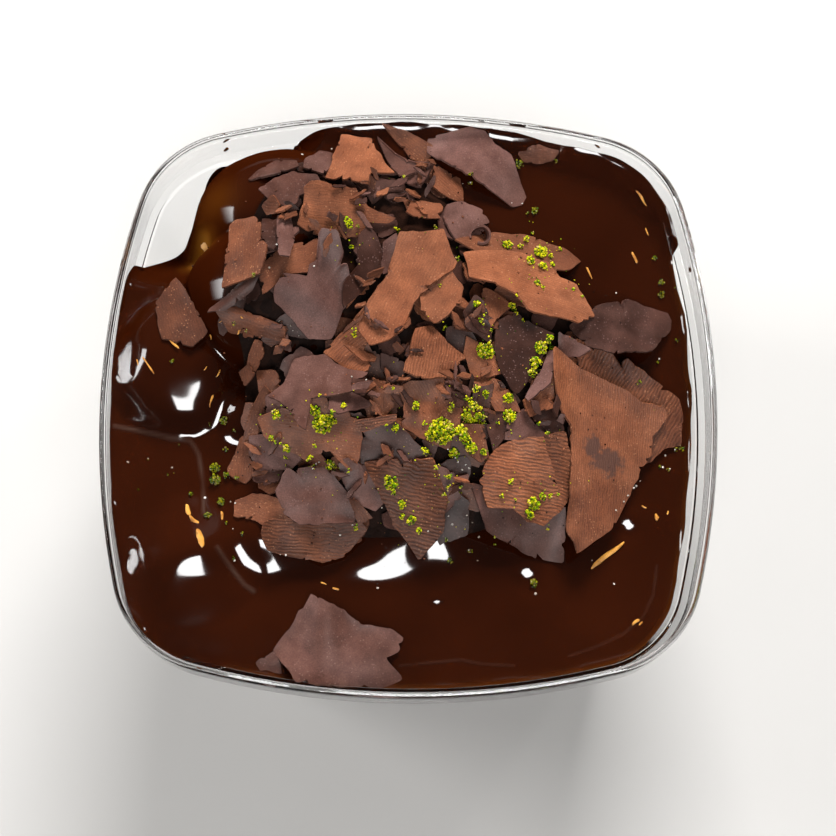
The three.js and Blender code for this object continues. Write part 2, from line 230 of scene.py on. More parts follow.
def addMath(tree, operation, a, b=0.0):
    return addNode(tree, "Math", {0: a, 1: b}, operation=operation).outputs[0]


def multiply(tree, a, b):
    return addMath(tree, "MULTIPLY", a, b)


def mixColours(tree, factor, a, b, blend="MIX"):
    node = addNode(tree, "Mix", {0: factor, 6: a, 7: b}, data_type="RGBA", blend_type=blend)
    return node.outputs[2]


def addBump(tree, height, distance, strength=1.0, normal=None):
    inputs = {"Height": height, "Distance": distance * mm, "Strength": strength}
    if normal:
        inputs["Normal"] = normal
    return addNode(tree, "Bump", inputs).outputs["Normal"]


# Links sockets to the shader's inputs of the same names
def connect(tree, shader, **sockets):
    for key, socket in sockets.items():
        tree.links.new(socket, shader.inputs[key.replace("_", " ")])


def objectCoordinates(tree):
    return addNode(tree, "TexCoord").outputs["Object"]


def attributeValue(tree, name):
    return addNode(tree, "Attribute", attribute_name=name).outputs["Fac"]


# The cup: a rounded square with bowed sides, a taper and a stacking ledge

cup = {
    "height": 60,
    "rimHalf": round(cadBox[1][0] / mm, 1),  # middle of a side to the axis, outside the rim
    "sideRadius": 147,  # bow of each side
    "cornerRadius": 19.6,
    "rimWidth": 1.1,
    "rimDrop": 2.4,
    "wall": 0.9,
    "ledgeHeight": 53,
    "ledgeWidth": 1.5,
    "ledgeSoft": 0.6,
    "taper": 0.18,
    "baseThick": 1.3,
    "baseRound": 2.6,
    "footWidth": 5,
    "footRise": 0.7,
    "steps": 20,  # points along each side and along each corner
    "softEdge": 0.22,
}


# Points of the rim's outline moved inwards by inset: four bowed sides and four round corners
def outlinePoints(inset, steps):
    back = cup["sideRadius"] - cup["rimHalf"]
    rest = back**2 - (cup["sideRadius"] - cup["cornerRadius"]) ** 2
    corner = (-2 * back + math.sqrt(4 * back**2 - 8 * rest)) / 4
    half = math.atan2(corner, corner + back)
    a = np.linspace(-half, half, steps, endpoint=False)
    r = cup["sideRadius"] - inset
    side = np.column_stack([r * np.cos(a) - back, r * np.sin(a)])
    a = np.linspace(half, math.pi / 2 - half, steps, endpoint=False)
    r = cup["cornerRadius"] - inset
    bend = np.column_stack([corner + r * np.cos(a), corner + r * np.sin(a)])
    quarter = np.vstack([side, bend])
    turns = [k * math.pi / 2 for k in range(4)]
    spins = [[[math.cos(t), math.sin(t)], [-math.sin(t), math.cos(t)]] for t in turns]
    return np.vstack([quarter @ np.array(spin) for spin in spins])


# Inset of the cup's inner face below the ledge
def slopingInset(z):
    return cup["rimWidth"] + cup["ledgeWidth"] + (cup["ledgeHeight"] - z) * cup["taper"]


# Inset of the cup's inner face at any height
def innerInset(z):
    soft = cup["ledgeSoft"]
    ledge = smoothStep((z - cup["ledgeHeight"] + soft / 2) / soft)
    return slopingInset(z) * (1 - ledge) + cup["rimWidth"] * ledge


# Inset of the cup's outer face below the ledge
def outerInset(z):
    return slopingInset(z) - cup["wall"]


# How far the outline with an inset reaches from the axis in each direction
insetStep = 0.5
directions = np.linspace(-math.pi, math.pi, 721)


def reachRow(inset):
    points = outlinePoints(inset, 3 * cup["steps"])
    angle = np.arctan2(points[:, 1], points[:, 0])
    order = np.argsort(angle)
    reach = np.hypot(points[:, 0], points[:, 1])
    return np.interp(directions, angle[order], reach[order], period=fullTurn)


reachTable = np.array([reachRow(k * insetStep) for k in range(36)])  # insets up to 17.5


def wallReach(angle, inset):
    row = np.clip(inset / insetStep, 0, len(reachTable) - 1.001)  # so that a next row exists
    column = (angle + math.pi) / fullTurn * (len(directions) - 1)
    column = np.clip(column, 0, len(directions) - 1.001)
    i, j = row.astype(int), column.astype(int)
    a, b = row - i, column - j
    low = reachTable[i, j] * (1 - b) + reachTable[i, j + 1] * b
    high = reachTable[i + 1, j] * (1 - b) + reachTable[i + 1, j + 1] * b
    return low * (1 - a) + high * a


# Moves the selected ring of vertices onto the outline at a height
def placeRing(obj, inset, z, ring):
    outline = outlinePoints(inset, cup["steps"])
    mesh = bmesh.from_edit_mesh(obj.data)
    spoke = mesh.verts.layers.int["spoke"]
    rings = mesh.verts.layers.int["ring"]
    for vertex in mesh.verts:
        if vertex.select:
            x, y = outline[vertex[spoke]]
            vertex.co = (x * mm, y * mm, z * mm)
            vertex[rings] = ring
    bmesh.update_edit_mesh(obj.data)


def makeCup():
    shoulder = cup["ledgeHeight"] - cup["wall"]
    under = cup["height"] - cup["rimDrop"]
    bead = cup["rimWidth"] - cup["wall"]
    rim = cup["rimWidth"]
    ledge = rim + cup["ledgeWidth"]
    foot = outerInset(0) + cup["baseRound"]
    bend = cup["baseRound"] / 4
    inside = cup["baseRound"] + cup["baseThick"]
    # inset and height of each ring, from the raised base up the outside and down the inside
    profile = [
        (foot + cup["footWidth"] + cup["footRise"], cup["footRise"]),
        (foot + cup["footWidth"], 0),
        (foot, 0),
        (outerInset(bend) + bend, bend),
        (outerInset(cup["baseRound"]), cup["baseRound"]),
        (outerInset(shoulder - cup["wall"]), shoulder - cup["wall"]),
        (bead, shoulder),
        (bead, under),
        (0, under + bead),
        (0, cup["height"] - rim / 3),
        (rim / 3, cup["height"]),
        (rim * 2 / 3, cup["height"]),
        (rim, cup["height"] - rim / 3),
        (rim, cup["ledgeHeight"]),
        (ledge, cup["ledgeHeight"]),
        (slopingInset(inside), inside),
        (slopingInset(cup["baseThick"]) + cup["baseRound"], cup["footRise"] + cup["baseThick"]),
    ]
    deselectAll()
    around = 8 * cup["steps"]
    bpy.ops.mesh.primitive_circle_add(vertices=around, radius=cup["rimHalf"] * mm)
    shell = bpy.context.object
    shell.name = "cupShell"
    spokes = shell.data.attributes.new("spoke", "INT", "POINT")
    spokes.data.foreach_set("value", range(around))
    shell.data.attributes.new("ring", "INT", "POINT")
    bpy.ops.object.mode_set(mode="EDIT")
    bpy.ops.mesh.select_all(action="SELECT")
    for ring, (inset, z) in enumerate(profile):
        if ring:
            bpy.ops.mesh.extrude_region_move()
        placeRing(shell, inset, z, ring)
    bpy.ops.mesh.edge_face_add()  # the floor inside
    bpy.ops.mesh.select_all(action="DESELECT")
    mesh = bmesh.from_edit_mesh(shell.data)
    rings = mesh.verts.layers.int["ring"]
    for edge in mesh.edges:
        if all(vertex[rings] == 0 for vertex in edge.verts):
            edge.select_set(True)
    bmesh.update_edit_mesh(shell.data)
    bpy.ops.mesh.edge_face_add()  # the raised base underneath
    faceOutwards()
    bevel = {"width": cup["softEdge"] * mm, "segments": 3, "limit_method": "ANGLE"}
    applyModifier(shell, "BEVEL", **bevel, angle_limit=math.radians(15))
    shadeSmooth(shell, 35)
    shell.data.materials.append(clearPlastic())
    placePiece(shell, "clear_plastic", "cup")


def clearPlastic():
    material, tree, shader = newMaterial(
        "clearPlastic", Base_Color=(0.98, 0.985, 0.99, 1), Roughness=0.03, IOR=1.5,
        Transmission_Weight=1.0)
    place = objectCoordinates(tree)
    waves = addNoise(tree, place, 35, detail=1)  # slow unevenness of moulded plastic
    tint = addRamp(tree, waves, [(0.3, (0.97, 0.98, 0.985)), (0.7, (0.99, 0.99, 0.985))])
    connect(tree, shader, Base_Color=tint, Normal=addBump(tree, waves, 0.25, 0.35))
    return material


# The sauce: a tilted pool that climbs over the choux balls, with an empty far left corner

puffs = {
    "profiterole_top_left": {"at": (-25.5, 18.5, 53), "radii": (15.5, 14.5, 14)},
    "profiterole_left": {"at": (-42, 7, 46.5), "radii": (14.5, 15.5, 13.5)},
    "profiterole_far_left": {"at": (-24.5, 35, 50), "radii": (16, 14.5, 13.5)},
    "profiterole_front_left": {"at": (-38.5, -30, 43), "radii": (15, 15, 13)},
}

sauce = {
    "level": 52.8,  # at the axis
    "across": -0.04,  # per millimetre of x
    "away": 0.06,  # per millimetre of y
    "pockets": [
        {"at": (-45, 38), "reach": 19, "depth": 20}, {"at": (-29, 56), "reach": 15, "depth": 13},
    ],
    "cover": 0.9,  # over the choux balls
    "lumps": 0.012,  # of the covered balls, as a share of their radii
    "fillet": 2.4,  # how softly the pool joins what stands out of it
    "valley": 1.6,  # and the covered balls each other
    "brink": 0.965,  # share of the radius at which a ball's side turns straight
    "steepest": 4.5,  # slope of that side
    "meniscus": 1.4,
    "meniscusWidth": 1.15,
    "intoWall": 0.1,
    "cells": 270,
    "rings": (46, 38, 30, 20, 10),  # heights of the rings down the wall, below the ledge
    # gentle swells: place, reach both ways and rise
    "swells": [
        (50, -15, 25, 40, -1.6), (5, 53, 20, 8, 1), (52, 26, 8, 9, -0.7), (-50, -30, 12, 14, 1),
        (-38, -43, 13, 7, 1.6), (-28.4, -28.6, 7, 6, 1.1), (-52, 0, 10, 12, -0.8),
        (-20, -40, 13, 8, 0.6), (20, -40, 20, 10, 0.5), (34, 32, 14, 12, 0.4),
    ],
    # rounded rises over what is sunk in it: place, reach and rise
    "rises": [(0, -20.5, 15, 2.8), (-23.5, -20.5, 13, 2.8), (-29.5, -3, 7, 3.2)],
    "waviness": (0.1, 0.03),  # on the left and on the right
    "waveLength": 14,
    "calmFrom": 10,  # the right begins at this x
    "calmOver": 40,
    # the folds' painted reflection: at this rise a fold's lighter grey line is at full strength
    "fullSheenFold": 0.3,  # rise of a fold that would show at full strength
    # patches that lean to catch or lose the window's light: place, reach, slope across and away
    "leans": [
        (-40.3, -2.9, 4.5, 4, -0.04, -0.17), (-32.3, -2.6, 3, 3.6, 0.12, 0),
        (-32.3, -8, 3.4, 2.6, -0.29, 0.04), (-35.8, -31.2, 5.4, 4, 0, 0.4),
        (-38.5, -38.5, 6, 4, 0, -0.15), (-28.4, -28.6, 4.8, 4.6, 0.37, 0.4),
        (-7.5, -32.2, 6, 3.4, -0.03, 0.26), (0, -29, 5, 3.4, 0, 0.14), (5.4, -26.8, 4, 3.4, 0.2, 0.18),
        (39.9, -21.7, 1.9, 2.8, 0.1, 0.4), (21.4, -31.1, 1.9, 2.6, 0.08, 0.43),
        (5.3, -36.6, 1.1, 1.1, 0, 0.4), (-51.8, -30.8, 2.4, 4, -0.75, -0.2),
        (-48.8, 6.3, 2.5, 3, 0.35, 0), (-51.3, 2.2, 1.6, 2.2, -0.15, -0.25),
    ],
    # thin ridges where folds of sauce meet, with a painted reflection as lighter lines along them: rise,
    # width and the points they follow
    "folds": [
        (0.22, 0.34, [
            (-53, -5.8), (-49.4, -6.3), (-45.4, -7.2), (-42.7, -7.9), (-40.9, -8), (-39.4, -8.3)]),
        (0.22, 0.32, [
            (-39.4, -8.3), (-38.5, -9.4), (-37.7, -10.9), (-36.8, -15.4), (-36.5, -18.7),
            (-36.2, -21.8)]),
        (0.22, 0.34, [(-33.3, -28.4), (-31.8, -30.5), (-30.3, -32.4), (-28.6, -34.4), (-27, -35.4)]),
        (0.07, 0.22, [
            (44.9, -29.1), (44.1, -34.5), (42, -38.6), (38.6, -41.5), (33.8, -43.9), (28.7, -45.7)]),
        (0.07, 0.22, [(-1.1, -47.9), (4.2, -47.3), (9.6, -46.7), (13.3, -47.4), (18.9, -47.6)]),
    ],
    # the sauce is that much thinner here, so that bare crust shows
    "bare": {"at": (-40, 29.5), "reach": 4.2, "thinner": 2.4},
    # the crust shines through here: place, reach and strength
    "thin": [(-40, 29.5, 7, 0.9), (-36, 36, 9, 0.4)],
    "thinEdge": 0.45,  # how much it thins out against the wall at the front right
    "thinEdgeWidth": 0.9,
}

# Where the sauce is dull: from this slope on, and within how much more of slope it gets so
flanks = {
    "step": 0.2,
    "steep": 0.95,
    "steepRange": 0.6,
    "cornerSteep": 0.4,  # over the empty corner
    "cornerRange": 0.35,
    "cornerFrom": (-6, 4),  # left of this x and beyond this y
    "cornerSoft": 8,
}


def distanceToPath(x, y, path):
    nearest = np.full(np.shape(x), 1e9)
    for (ax, ay), (bx, by) in zip(path, path[1:]):
        dx, dy = bx - ax, by - ay
        t = np.clip(((x - ax) * dx + (y - ay) * dy) / (dx * dx + dy * dy), 0, 1)
        nearest = np.minimum(nearest, np.hypot(x - ax - t * dx, y - ay - t * dy))
    return nearest


def poolHeight(x, y):
    z = sauce["level"] + sauce["across"] * x + sauce["away"] * y
    for px, py, rx, ry, rise in sauce["swells"]:
        z = z + rise * bell((x - px) / rx, (y - py) / ry)
    for px, py, reach, rise in sauce["rises"]:
        share = np.minimum(np.hypot(x - px, y - py) / reach, 1)
        z = z + rise * (1 - share**2) ** 2
    for pocket in sauce["pockets"]:
        away = np.hypot(x - pocket["at"][0], y - pocket["at"][1]) / pocket["reach"]
        z = z - pocket["depth"] * smoothStep(1 - away)
    return z


def coatHeight(puff, x, y):
    bare = sauce["bare"]
    thin = smoothStep(1 - np.hypot(x - bare["at"][0], y - bare["at"][1]) / bare["reach"])
    grow = sauce["cover"] - bare["thinner"] * thin
    (px, py, pz), (rx, ry, rz) = puff["at"], puff["radii"]
    dx, dy = (x - px) / (rx + grow), (y - py) / (ry + grow)
    lumps = 1 + sauce["lumps"] * np.sin(5 * dx + px) * np.sin(4 * dy + py)
    share = np.hypot(dx, dy) / lumps
    brink = sauce["brink"]
    dome = pz + (rz + grow) * np.sqrt(1 - np.minimum(share, brink) ** 2)
    return dome - np.maximum(share - brink, 0) * rx * sauce["steepest"]


def sauceSurface(x, y):
    domes = None
    for puff in puffs.values():
        dome = coatHeight(puff, x, y)
        domes = dome if domes is None else smoothMax(domes, dome, sauce["valley"])
    z = smoothMax(domes, poolHeight(x, y), sauce["fillet"])
    left, right = sauce["waviness"]
    leftShare = smoothStep((sauce["calmFrom"] - x) / sauce["calmOver"])
    waviness = right + (left - right) * leftShare
    z = z + waviness * ripples(x, y, sauce["waveLength"], seed=31, octaves=2)
    for px, py, rx, ry, across, away in sauce["leans"]:
        dx, dy = x - px, y - py
        z = z + (across * dx + away * dy) * bell(dx / rx, dy / ry)
    for rise, width, path in sauce["folds"]:
        z = z + rise * bell(distanceToPath(x, y, path) / width)
    return z


# Painted reflection: how far the sauce's colour is lightened to a soft grey along the folds
def paintedFoldSheen(x, y):
    share = 0 * x
    for rise, width, path in sauce["folds"]:
        line = bell(distanceToPath(x, y, path) / width) * rise / sauce["fullSheenFold"]
        patchy = 0.75 + 0.25 * ripples(x, y, scale=6, seed=47, octaves=2)
        share = np.maximum(share, line * patchy)
    return np.clip(share, 0, 1)


# 1 on steep flanks and already on slanting ones over the empty corner, which are duller
def flankShare(x, y):
    step, soft = flanks["step"], flanks["cornerSoft"]
    riseX = sauceSurface(x + step, y) - sauceSurface(x - step, y)
    riseY = sauceSurface(x, y + step) - sauceSurface(x, y - step)
    slope = np.hypot(riseX, riseY) / (2 * step)
    left, far = flanks["cornerFrom"]
    corner = smoothStep((y - far) / soft) * smoothStep((left - x) / soft)
    steep = smoothStep((slope - flanks["steep"]) / flanks["steepRange"])
    slanting = smoothStep((slope - flanks["cornerSteep"]) / flanks["cornerRange"])
    return np.maximum(steep, corner * slanting)


# How high the sauce climbs the wall in each direction
def meniscusRise(angle):
    r = 48  # about where the wall is
    waves = ripples(r * np.cos(angle), r * np.sin(angle), scale=13, seed=12, octaves=2)
    return sauce["meniscus"] * np.clip(0.7 + 0.5 * waves, 0.2, 1.2)


# Reach of the sauce's edge on the wall in each direction
def edgeReach(angle):
    inset = np.full(np.shape(angle), cup["rimWidth"] + cup["wall"])
    for _ in range(6):  # closer each time
        reach = wallReach(angle, inset)
        z = sauceSurface(reach * np.cos(angle), reach * np.sin(angle)) + meniscusRise(angle)
        inset = 0.5 * inset + 0.5 * (innerInset(z) - sauce["intoWall"])
    return wallReach(angle, inset)


# Stretches a square grid over a round shape: each square ring keeps its share of the reach
def gridToShape(u, v):
    share = np.maximum(np.abs(u), np.abs(v))
    return share, np.arctan2(v, u)


def makeSauce():
    body = addGrid(sauce["cells"])
    body.name = "chocolateSauce"
    points = getPoints(body)
    share, angle = gridToShape(points[:, 0], points[:, 1])
    share = share * (1.35 - 0.35 * share)  # the cells are smaller towards the wall
    edge = np.interp(angle, directions, edgeReach(directions))
    x, y = share * edge * np.cos(angle), share * edge * np.sin(angle)
    gap = (1 - share) * edge
    z = sauceSurface(x, y) + meniscusRise(angle) * np.exp(-gap / sauce["meniscusWidth"])
    setPoints(body, np.column_stack([x, y, z]))
    fade = np.exp(-gap / sauce["thinEdgeWidth"])
    frontRight = smoothStep((x - y) / 60 + 0.4)
    thin = sauce["thinEdge"] * fade * frontRight
    for px, py, reach, strength in sauce["thin"]:
        thin = np.maximum(thin, strength * smoothStep(1 - np.hypot(x - px, y - py) / reach))
    setAttribute(body, "film", thin)
    # share of painted reflection along the folds
    setAttribute(body, "foldSheen", paintedFoldSheen(x, y))
    setAttribute(body, "matt", flankShare(x, y))
    setAttribute(body, "heading", angle)
    selectBorder()
    floor = cup["footRise"] + cup["baseThick"]
    depths = [
        cup["ledgeHeight"], cup["ledgeHeight"] - 0.4, *sauce["rings"],
        cup["baseRound"] + cup["baseThick"], floor - sauce["intoWall"],
    ]
    for depth in depths:
        bpy.ops.mesh.extrude_region_move()
        mesh = bmesh.from_edit_mesh(body.data)
        heading = mesh.verts.layers.float["heading"]
        film = mesh.verts.layers.float["film"]
        matt = mesh.verts.layers.float["matt"]
        chosen = [vertex for vertex in mesh.verts if vertex.select]
        angles = np.array([vertex[heading] for vertex in chosen])
        above = np.array([vertex.co.z for vertex in chosen]) / mm
        z = np.minimum(above - 0.05, depth)  # each ring is below the one before
        inset = innerInset(z) - sauce["intoWall"]
        if depth < floor:
            inset = innerInset(cup["baseThick"]) + cup["baseRound"] + 0 * z
        reach = wallReach(angles, inset)
        for vertex, r, a, height in zip(chosen, reach, angles, z):
            vertex.co = (r * math.cos(a) * mm, r * math.sin(a) * mm, height * mm)
            vertex[film] = 0
            vertex[matt] = 1  # it wets the wall, so there is no shine of its own
        bmesh.update_edit_mesh(body.data)
    bpy.ops.mesh.edge_face_add()
    faceOutwards()
    shadeSmooth(body, 60)
    body.data.materials.append(sauceFinish)
    placePiece(body, "chocolate_sauce", "chocolate_sauce")


def makeSauceFinish():
    material, tree, shader = newMaterial("glossySauce", Roughness=0.085, IOR=1.46)
    place = objectCoordinates(tree)
    cloud = addNoise(tree, place, 45, detail=4)
    grains = addNoise(tree, place, 1500, detail=2)
    dark = addRamp(tree, cloud, [(0.3, (0.0195, 0.0033, 0.0006)), (0.7, (0.0275, 0.0047, 0.0009))])
    thin = addRamp(tree, attributeValue(tree, "film"), [
        (0, (0.03, 0.0055, 0.001)), (0.5, (0.1, 0.028, 0.003)), (1, (0.42, 0.17, 0.02))])
    share = multiply(tree, attributeValue(tree, "film"), 1.3)
    colour = mixColours(tree, share, dark, thin)
    # painted reflection: the sauce is lightened to grey-brown along the folds
    foldSheen = multiply(tree, attributeValue(tree, "foldSheen"), 0.42)
    colour = mixColours(tree, foldSheen, colour, (0.13, 0.085, 0.065, 1))
    gloss = addRamp(tree, attributeValue(tree, "matt"), [(0, (0.5, 0.5, 0.5)), (1, (0, 0, 0))])
    swell = addBump(tree, addNoise(tree, place, 110, detail=2), 0.12, 0.25)
    normal = addBump(tree, grains, 0.006, 0.25, swell)
    connect(tree, shader, Base_Color=colour, Specular_IOR_Level=gloss, Normal=normal)
    return material


# The choux balls under the sauce

choux = {
    "radius": 15,  # about that of each
    "lumps": 0.55, "lumpSize": 9,
    "crags": 0.28, "cragSize": 2.6,
    "pressed": 0.2,  # gap between balls that press on each other
    "soaked": 0.6,  # room for the sauce that has soaked in
    "wallGap": 0.3,
}


def chouxFinish():
    material, tree, shader = newMaterial("chouxCrust", Roughness=0.62)
    place = objectCoordinates(tree)
    patches = addNoise(tree, place, 160, detail=5)
    pores = addNoise(tree, place, 900, detail=4, roughness=0.65)
    crust = addRamp(tree, patches, [
        (0.32, (0.42, 0.16, 0.03)), (0.5, (0.64, 0.3, 0.06)), (0.68, (0.8, 0.46, 0.13))])
    normal = addBump(tree, pores, 0.12, 0.8, addBump(tree, patches, 0.4, 0.6))
    connect(tree, shader, Base_Color=crust, Normal=normal)
    return material


def makeChoux():
    first = addBall(5)
    sphere = getPoints(first)
    x, y, z = sphere.T
    r = choux["radius"]
    crust = chouxFinish()
    done = []
    for index, (node, puff) in enumerate(puffs.items()):
        ball = copyOf(first) if done else first
        ball.name = "choux" + node.removeprefix("profiterole").title().replace("_", "")
        at, radii = np.array(puff["at"]), np.array(puff["radii"])
        swell = ripples(r * x, r * y + 9 * z, choux["lumpSize"], seed=index)
        crags = ripples(r * x + 11 * z, r * y - 7 * z, choux["cragSize"], seed=index + 20)
        grow = choux["lumps"] * swell - choux["crags"] * np.abs(crags) - choux["soaked"]
        points = at + sphere * (radii + grow[:, None])
        for otherAt, otherRadii in done:  # dented by the balls placed before
            away = (points - otherAt) / (otherRadii + choux["pressed"])
            depth = np.linalg.norm(away, axis=1)
            dented = otherAt + (points - otherAt) / np.maximum(depth, 1e-6)[:, None]
            points = np.where((depth < 1)[:, None], dented, points)
        angle = np.arctan2(points[:, 1], points[:, 0])
        room = wallReach(angle, innerInset(points[:, 2]) + choux["wallGap"])
        shrink = np.minimum(1, room / np.hypot(points[:, 0], points[:, 1]))
        points[:, :2] *= shrink[:, None]
        setPoints(ball, points)
        done.append((at, radii))
        shadeSmooth(ball, 80)
        ball.data.materials.append(crust)
        placePiece(ball, "coated_choux", node)


# A height map of what lies in the cup, on which the shavings and crumbs are laid one by one

cellSize = 0.5
cellsAcross = round(2 * cup["rimHalf"] / cellSize)
centres = (np.arange(cellsAcross) + 0.5) * cellSize - cup["rimHalf"]
mapX, mapY = np.meshgrid(centres, centres)
ground = sauceSurface(mapX, mapY)


def cellOf(x, y):
    column = np.floor((np.asarray(x) + cup["rimHalf"]) / cellSize).astype(int)
    row = np.floor((np.asarray(y) + cup["rimHalf"]) / cellSize).astype(int)
    return np.clip(row, 0, cellsAcross - 1), np.clip(column, 0, cellsAcross - 1)


# The heap's own core, under the shavings, its crumbled chocolate painted near-black as the shade in the
# gaps between them

heap = {
    "middle": (0, 5),
    "reach": [37, 34, 28, 42, 45, 40, 32, 33, 35, 33, 34, 36],  # every 30 degrees from +X
    "rise": 7.2,
    "skin": 0.3,
    "fall": 0.8,  # the lower, the fuller its shoulders
    "relief": 0.5,
    "reliefSize": 7,
    "shrink": 0.93,  # the shavings reach beyond it
    "cells": 96,
    "below": 2,
}


def heapReach(angle):
    steps = len(heap["reach"])
    turn = (np.asarray(angle) / fullTurn * steps) % steps
    low = turn.astype(int) % steps
    blend = smoothStep(turn - np.floor(turn))
    reach = np.array(heap["reach"], float)
    return reach[low] * (1 - blend) + reach[(low + 1) % steps] * blend


# The place at a distance and in a direction from the heap's middle
def fromMiddle(r, angle):
    return heap["middle"][0] + r * math.cos(angle), heap["middle"][1] + r * math.sin(angle)


def coreHeight(x, y):
    dx, dy = x - heap["middle"][0], y - heap["middle"][1]
    share = np.hypot(dx, dy) / (heapReach(np.arctan2(dy, dx)) * heap["shrink"])
    dome = (1 - np.minimum(share, 1) ** 2) ** heap["fall"]
    floor = sauce["level"] + sauce["across"] * x + sauce["away"] * y
    bumps = heap["relief"] * ripples(x, y, heap["reliefSize"], seed=3)
    top = np.maximum(floor + heap["skin"] + heap["rise"] * dome, sauceSurface(x, y) + heap["skin"])
    fade = smoothStep((1 - share) * 6)  # no bumps at the edge
    return np.where(share < 1, top + bumps * fade, -1e3)


def makeCore():
    core = addGrid(heap["cells"])
    core.name = "heapCore"
    points = getPoints(core)
    share, angle = gridToShape(points[:, 0], points[:, 1])
    reach = heapReach(angle) * heap["shrink"] * share * 0.999
    x = heap["middle"][0] + reach * np.cos(angle)
    y = heap["middle"][1] + reach * np.sin(angle)
    setPoints(core, np.column_stack([x, y, coreHeight(x, y)]))
    selectBorder()
    down = {"value": (0, 0, -heap["below"] * mm)}
    bpy.ops.mesh.extrude_region_move(TRANSFORM_OT_translate=down)
    bpy.ops.mesh.edge_face_add()
    faceOutwards()
    shadeSmooth(core, 60)
    core.data.materials.append(coreShadeFinish())
    placePiece(core, "chocolate_shavings", "chocolate_shavings")
    np.maximum(ground, coreHeight(mapX, mapY), out=ground)


def coreShadeFinish():
    material, tree, shader = newMaterial(
        "crumbsPaintedShade", Roughness=0.8, Specular_IOR_Level=0.08)
    place = objectCoordinates(tree)
    bits = addNode(tree, "TexVoronoi", {"Vector": place, "Scale": 420.0}).outputs["Color"]
    grey = addNode(tree, "RGBToBW", {0: bits}).outputs[0]
    # painted shade: crumbled chocolate darkened to near-black, darker than any shaving, for the deep
    # shade between the shavings
    colour = addRamp(tree, grey, [(0.2, (0.009, 0.0035, 0.0022)), (0.8, (0.022, 0.008, 0.0045))])
    normal = addBump(tree, addNoise(tree, place, 600, detail=4), 0.5)
    connect(tree, shader, Base_Color=colour, Normal=normal)
    return material


# Chocolate shavings. Each has its tone from light to dark and its corners, as they are seen
# from the camera on a level plane at the height "seenAt", and is moved along the line of
# sight to the height at which it comes to lie. curl is the rise of the two ends, roll that
# of the long edges, tip the lean in degrees along and across, warp the unevenness as a share
# of the length, fade how the tone changes across and away, which by default darkens each
# shaving towards the front as painted shade, grain the heading of the fine ridges, ribs their
# depth and pitch their distance. The list runs from the lowest to the top.

shavingForm = {
    "seenAt": 66,
    "eye": (0.6, -94, 334),
    "thick": 0.36,
    "jags": [(5, 0.22), (1.9, 0.2), (0.8, 0.13)],  # unevenness of a torn edge: spacing and depth
    "notches": 4,
    "notchDepth": (0.3, 1.2),
    "notchWidth": (0.15, 0.6),
    "smallest": 4,  # mean radius below which the edge is less torn
    "leastReach": 0.3,
    "edgeStep": 0.36,  # length of a face at the edge
    "fewest": 6, "most": 64,  # cells along a side
    "curl": (-0.05, 0.08),  # share of the length, where a shaving names none
    "ribs": {"milk": (0.12, 0.38), "dark": (0, 0.12)},
    "warp": 0.022,
    "lifted": 0.05,  # how far parts of the edge stand up, as a share of half the length
    "patches": 0.08,  # unevenness of the tone
    "patchSize": 9,
    "steepest": 0.6,
    "sink": 0.5,  # how far bumps below may press in
    "wetted": 0.2,  # how deep those that lie by themselves sit in the sauce
}


def shaving(kind, tone, corners, **more):
    return {"kind": kind, "tone": tone, "corners": corners, **more}


def milk(tone, corners, **more):
    return shaving("milk", tone, corners, **more)


def dark(tone, corners, **more):
    return shaving("dark", tone, corners, **more)


